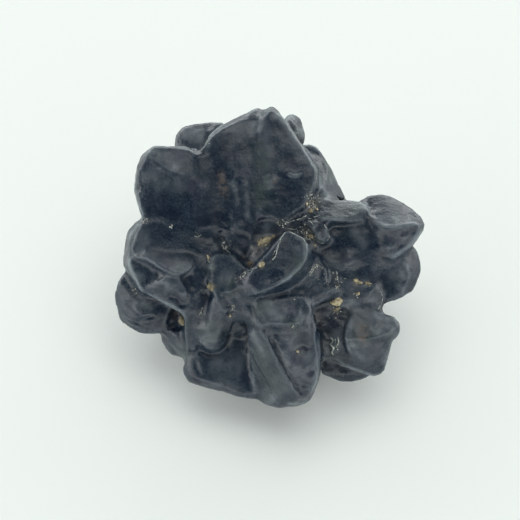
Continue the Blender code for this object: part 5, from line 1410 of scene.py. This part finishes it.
# %% The crumbs
#   spot on the face in mm, three half sizes in mm, turn in degrees, tone from 0 brown to 1 pale
LUMPS = {
    "pale crumb": ((9.85, -6.6), (0.85, 0.62, 0.50), 20.0, 1.0),
    "crumb beside it": ((9.2, -6.7), (0.40, 0.30, 0.30), -30.0, 0.7),
    "crumb below it": ((10.1, -7.5), (0.30, 0.24, 0.25), 0.0, 0.8),
    "tan ball": ((-13.0, -9.4), (0.72, 0.72, 0.72), 0.0, 0.25),
    "ochre sheet": ((-0.9, 2.3), (1.15, 0.42, 0.25), 32.0, 0.55),
    "ochre sheet end": ((0.3, 3.0), (0.45, 0.25, 0.20), 40.0, 0.3),
    "ochre step": ((-1.3, -1.05), (0.50, 0.34, 0.28), 15.0, 0.75),
    "brown step": ((-3.0, -0.9), (0.45, 0.28, 0.22), 30.0, 0.05),
    "left crumb": ((-8.95, -4.2), (0.42, 0.40, 0.30), 0.0, 0.3),
    "left crumb two": ((-8.6, -4.8), (0.26, 0.22, 0.20), 0.0, 0.35),
    "wedge crumb": ((12.7, -3.45), (0.45, 0.30, 0.26), -20.0, 0.9),
    "wedge crumb two": ((13.3, -3.75), (0.35, 0.24, 0.22), -30.0, 0.6),
    "wedge sliver": ((14.5, -3.85), (0.50, 0.11, 0.12), -8.0, 0.7),
    "grey crumb": ((13.0, -5.35), (0.30, 0.22, 0.22), 30.0, 0.9),
    "toe grain": ((-6.0, -8.6), (0.17, 0.22, 0.18), 10.0, 1.0),
    "pit grain": ((3.95, -13.9), (0.20, 0.18, 0.18), 0.0, 1.0),
    "post flake": ((-9.2, 0.0), (0.16, 0.38, 0.14), 20.0, 0.8),
    "grit grain": ((5.35, 7.9), (0.20, 0.26, 0.20), 0.0, 1.0),
    "grit grain two": ((5.9, 6.9), (0.34, 0.30, 0.22), 30.0, 0.5),
    "grit grain three": ((6.9, 7.1), (0.30, 0.16, 0.16), -40.0, 1.0),
    "grit grain four": ((6.6, 1.85), (0.20, 0.18, 0.18), 0.0, 1.0),
    "olive flake": ((6.1, 3.1), (0.55, 0.30, 0.15), -25.0, 0.5),
}
ROUGHEN = 0.35  # share of its size by which a crumb departs from a ball

shaken = random.Random(3)
bm = bmesh.new()
tones = []
for (x, y), radii, turn, tone in LUMPS.values():
    ball = bmesh.ops.create_icosphere(bm, subdivisions=3, radius=1.0)["verts"]
    shift = Vector([shaken.uniform(-50.0, 50.0) for _ in range(3)])
    for vert in ball:
        coarse = noise_at(vert.co * 1.3 + shift) + 0.5 * noise_at(vert.co * 3.1 + shift)
        vert.co *= 1.0 + ROUGHEN * coarse
    place = Matrix.Translation(table_to_face @ (on_skin(x, y) / MM))
    lay = face_to_table @ place @ Matrix.Rotation(math.radians(turn), 4, "Z") @ Matrix.Diagonal((*radii, 1.0))
    bmesh.ops.transform(bm, matrix=Matrix.Scale(MM, 4) @ lay, verts=ball)
    tones += [tone] * len(ball)
crumb_mesh = bpy.data.meshes.new("crumbs")
bm.to_mesh(crumb_mesh)
bm.free()
crumb_mesh.attributes.new("tone", "FLOAT", "POINT").data.foreach_set("value", tones)
crumb_mesh.shade_smooth()
crumbs = add_piece("crumbs", crumb_mesh, ochre)

# %% The seams
#   line on the face in mm, half thickness in mm
SEAMS = [
    ([(1.7, 5.6), (2.1, 5.3), (2.5, 5.15), (3.4, 5.45), (4.6, 5.8), (5.4, 6.3)], 0.085),
    ([(5.5, 5.65), (6.3, 5.85), (7.0, 6.15), (7.8, 6.35)], 0.10),
    ([(5.5, 5.5), (6.0, 5.2), (6.4, 4.7)], 0.07),
    ([(7.9, 4.9), (8.35, 4.3), (8.6, 3.7), (8.7, 3.0), (8.3, 2.4)], 0.07),
    ([(2.5, 4.25), (3.2, 4.15), (4.0, 4.2)], 0.07),
    ([(2.6, 3.85), (3.6, 3.35), (4.7, 2.85), (5.8, 2.65), (6.7, 2.6), (7.4, 2.15), (8.0, 2.0)], 0.07),
    ([(4.7, 2.8), (5.1, 2.3), (5.5, 1.6)], 0.06),
    ([(2.2, 3.8), (1.5, 2.8), (1.15, 1.8), (0.9, 0.9), (0.7, 0.1), (0.1, -0.5)], 0.08),
    ([(1.0, 1.6), (0.6, 0.9), (0.3, 0.3)], 0.05),
    ([(-2.0, -1.5), (-2.8, -1.7), (-3.6, -2.3), (-4.2, -3.0)], 0.06),
    ([(-7.2, 2.3), (-7.0, 1.4), (-6.3, 0.9), (-5.9, 0.5)], 0.07),
    ([(-6.7, 1.9), (-6.2, 1.4)], 0.05),
    ([(-11.4, 3.2), (-10.8, 3.0), (-10.2, 3.4)], 0.07),
    ([(-15.1, 4.3), (-14.5, 4.6)], 0.06),
    ([(-9.3, 0.3), (-9.3, -0.4), (-8.9, -0.9)], 0.07),
    ([(-9.9, 16.6), (-9.4, 17.2)], 0.06),
    ([(8.9, -11.8), (9.3, -12.3), (8.9, -12.9), (9.4, -13.5), (9.1, -14.1), (9.5, -14.6)], 0.17),
    ([(10.0, -11.8), (10.1, -12.6), (9.8, -13.2), (10.0, -13.9)], 0.15),
    ([(8.6, -13.6), (9.1, -13.5)], 0.06),
    ([(9.6, -12.1), (9.7, -12.9), (9.4, -13.8)], 0.10),
    ([(9.8, -2.0), (9.9, -2.9), (10.1, -3.8)], 0.06),
    ([(15.9, -7.8), (16.5, -6.9), (16.7, -5.9), (16.3, -4.9)], 0.06),
    ([(5.7, -2.8), (6.4, -1.7), (7.2, -1.0)], 0.06),
    ([(-10.6, -8.6), (-10.1, -7.6)], 0.05),
]
SEAM_STEP = 0.12  # mm between the rings of a seam
SEAM_BREAK = 0.05  # chance at each ring that the seam breaks off there

film_curve = bpy.data.curves.new("seams", "CURVE")
film_curve.dimensions = "3D"
film_curve.bevel_depth = MM
film_curve.bevel_resolution = 1
film_curve.use_fill_caps = True
for path, thickness in SEAMS:
    places = []
    for start, end in zip(path, path[1:]):
        steps = max(1, round(math.dist(start, end) / SEAM_STEP))
        places += [Vector(start).lerp(Vector(end), k / steps) for k in range(steps)]
    runs = [[]]
    for x, y in places:
        if len(runs[-1]) > 3 and shaken.random() < SEAM_BREAK:
            runs.append([])
        spot = on_skin(x + shaken.uniform(-0.05, 0.05), y + shaken.uniform(-0.05, 0.05))
        if spot is not None:
            runs[-1].append(spot)
    for run in (run for run in runs if len(run) > 2):
        spline = film_curve.splines.new("POLY")
        spline.points.add(len(run) - 1)
        for k, (point, spot) in enumerate(zip(spline.points, run)):
            fade = min(1.0, 0.3 + min(k, len(run) - 1 - k) / 2.0)
            point.co = (*spot, 1.0)
            point.radius = thickness * fade * shaken.uniform(0.5, 1.2)
film = bpy.data.objects.new("seams", film_curve)
bpy.context.scene.collection.objects.link(film)
seam_mesh = baked_mesh(film, "pale_seams")
bpy.data.objects.remove(film)
pale_seams = add_piece("pale_seams", seam_mesh, pale_film)

# %% [markdown]
# ## Feet, frame and body
#
# The stone lies on flats that are worn on three of its crystals, so what reaches below the table is pressed flat onto
# it. Then the pieces are tied to the frame: all of them are one body, and the skin stands for the solid.

# %% Cut the feet flat and tie the pieces to the frame
TRIANGLES = 190_000  # enough for the finest marks, few enough to be handled

thin = stone.modifiers.new("thin", "DECIMATE")
thin.ratio = TRIANGLES / (2 * len(stone.data.polygons))
stone.data = baked_mesh(stone, "stone_skin")
stone.modifiers.clear()
lowest = min(v.co.z for v in stone.data.vertices)
print("skin that reached below the table, mm:", round(-lowest / MM, 2))
bm = bmesh.new()
bm.from_mesh(stone.data)
everything = [*bm.verts, *bm.edges, *bm.faces]
bmesh.ops.bisect_plane(bm, geom=everything, plane_co=(0, 0, 0), plane_no=(0, 0, 1), clear_inner=True)
rim = [e for e in bm.edges if e.is_boundary]
soles = bmesh.ops.holes_fill(bm, edges=rim, sides=0)["faces"]
bmesh.ops.triangulate(bm, faces=soles)
bmesh.ops.recalc_face_normals(bm, faces=bm.faces)
open_edges = sum(e.is_boundary for e in bm.edges)
print("soles:", len(soles), "faces; the skin has", len(bm.faces), "faces and", open_edges, "open edges")
bm.to_mesh(stone.data)
bm.free()
stone.data.shade_smooth()

for piece in (stone, crevice_sand, ochre_crust, crumbs, pale_seams):
    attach(piece, "root")
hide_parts("prophecy_stone")

# %% [markdown]
# ## Table, light and camera
#
# The stone lies on a plain pale table in a white room. The light comes from all round, low over the table and
# brightest behind the stone, with a softer light from the ceiling. From where the camera is held comes little, so the
# faces turned to it stay dark and the rims shine, because a waxy skin reflects most where it is seen edge on. A world
# with those three parts says this plainly, and casts the same soft shadows as the real room.

# %% The pale table
paper, tree, shader = new_material("matt_paper", Roughness=0.9, IOR=1.4)
shader.inputs["Base Color"].default_value = hex_colour("#f8fbf7")
bm = bmesh.new()
bmesh.ops.create_grid(bm, x_segments=1, y_segments=1, size=3.0)
table_mesh = bpy.data.meshes.new("table")
bm.to_mesh(table_mesh)
bm.free()
table_mesh.materials.append(paper)
table = bpy.data.objects.new("table", table_mesh)
bpy.context.scene.collection.objects.link(table)

# %% The room
ROOM = 0.22  # brightness of the walls in every direction
CEILING = 2.2  # brightness added at the middle of the ceiling light
CEILING_AIM = (0.05, 0.10, 0.99)
CEILING_WIDTH = math.radians(38.0)
BAND = 4.3  # brightness added low over the table, at the sides
BAND_BEHIND = 1.6  # how much more of it lies behind the stone and less in front
BAND_FADE = (math.radians(8.0), math.radians(32.0))  # elevations where it starts to fade and is gone
BRIGHTEST = math.radians(194.0)  # azimuth of its brightest part, from the front over the right

SHADE = 0.86  # share of the light kept off by whoever holds the camera
SHADE_AIM = (-0.16, -0.60, 0.78)
SHADE_WIDTH = (math.radians(12.0), math.radians(42.0))  # where it is full, and where it has ended

room = bpy.data.worlds.new("white_room")
room.use_nodes = True
tree = room.node_tree
walls = tree.nodes["Background"]
direction = add_node(tree, "ShaderNodeTexCoord").outputs["Generated"]


def toward(aim, low, high, start, end):
    """A number for each direction of the room that goes from start to end as the direction nears an aim."""
    nearness = add_node(tree, "ShaderNodeVectorMath", {0: direction, 1: aim}, operation="DOT_PRODUCT").outputs["Value"]
    return ramp(nearness, low, high, start, end)


ceiling = toward(CEILING_AIM, math.cos(CEILING_WIDTH), 1.0, 0.0, CEILING)
low_band = toward((0.0, 0.0, 1.0), math.sin(BAND_FADE[0]), math.sin(BAND_FADE[1]), 1.0, 0.0)
behind = (math.sin(BRIGHTEST), -math.cos(BRIGHTEST), 0.0)
around = toward(behind, -1.0, 1.0, BAND - BAND_BEHIND, BAND + BAND_BEHIND)
glow = add_node(tree, "ShaderNodeMath", {0: product(low_band, around), 1: ceiling}, operation="ADD")
open_room = add_node(tree, "ShaderNodeMath", {0: glow.outputs["Value"], 1: ROOM}, operation="ADD")
shade = toward(SHADE_AIM, math.cos(SHADE_WIDTH[1]), math.cos(SHADE_WIDTH[0]), 1.0, 1.0 - SHADE)
tree.links.new(product(open_room.outputs["Value"], shade), walls.inputs["Strength"])
walls.inputs["Color"].default_value = hex_colour("#f8fcfb")
bpy.context.scene.world = room

# %% Camera and view
PICTURE = 520
MM_PER_PIXEL = 0.15
STONE_PIXEL = (270.5, 257.5)
CAMERA_ELEVATION = math.radians(60.0)
CAMERA_DISTANCE = 0.60

towards = Vector((0.0, -math.cos(CAMERA_ELEVATION), math.sin(CAMERA_ELEVATION)))
right = Vector((1.0, 0.0, 0.0))
up = towards.cross(right)
middle = Vector((CENTRE_SHIFT[0], CENTRE_SHIFT[1], REST_HEIGHT)) * MM
aim = middle - right * ((STONE_PIXEL[0] - PICTURE / 2) * MM_PER_PIXEL * MM)
aim += up * ((STONE_PIXEL[1] - PICTURE / 2) * MM_PER_PIXEL * MM)
lens = bpy.data.cameras.new("camera")
lens.sensor_width = 36.0
lens.lens = lens.sensor_width * CAMERA_DISTANCE / (PICTURE * MM_PER_PIXEL * MM)
lens.clip_start = 0.01
camera = bpy.data.objects.new("camera", lens)
camera.location = aim + towards * CAMERA_DISTANCE
camera.rotation_mode = "QUATERNION"
camera.rotation_quaternion = towards.to_track_quat("Z", "Y")
bpy.context.scene.collection.objects.link(camera)
bpy.context.scene.camera = camera
bpy.context.scene.view_settings.view_transform = "Standard"
print("lens, mm:", round(lens.lens, 1))
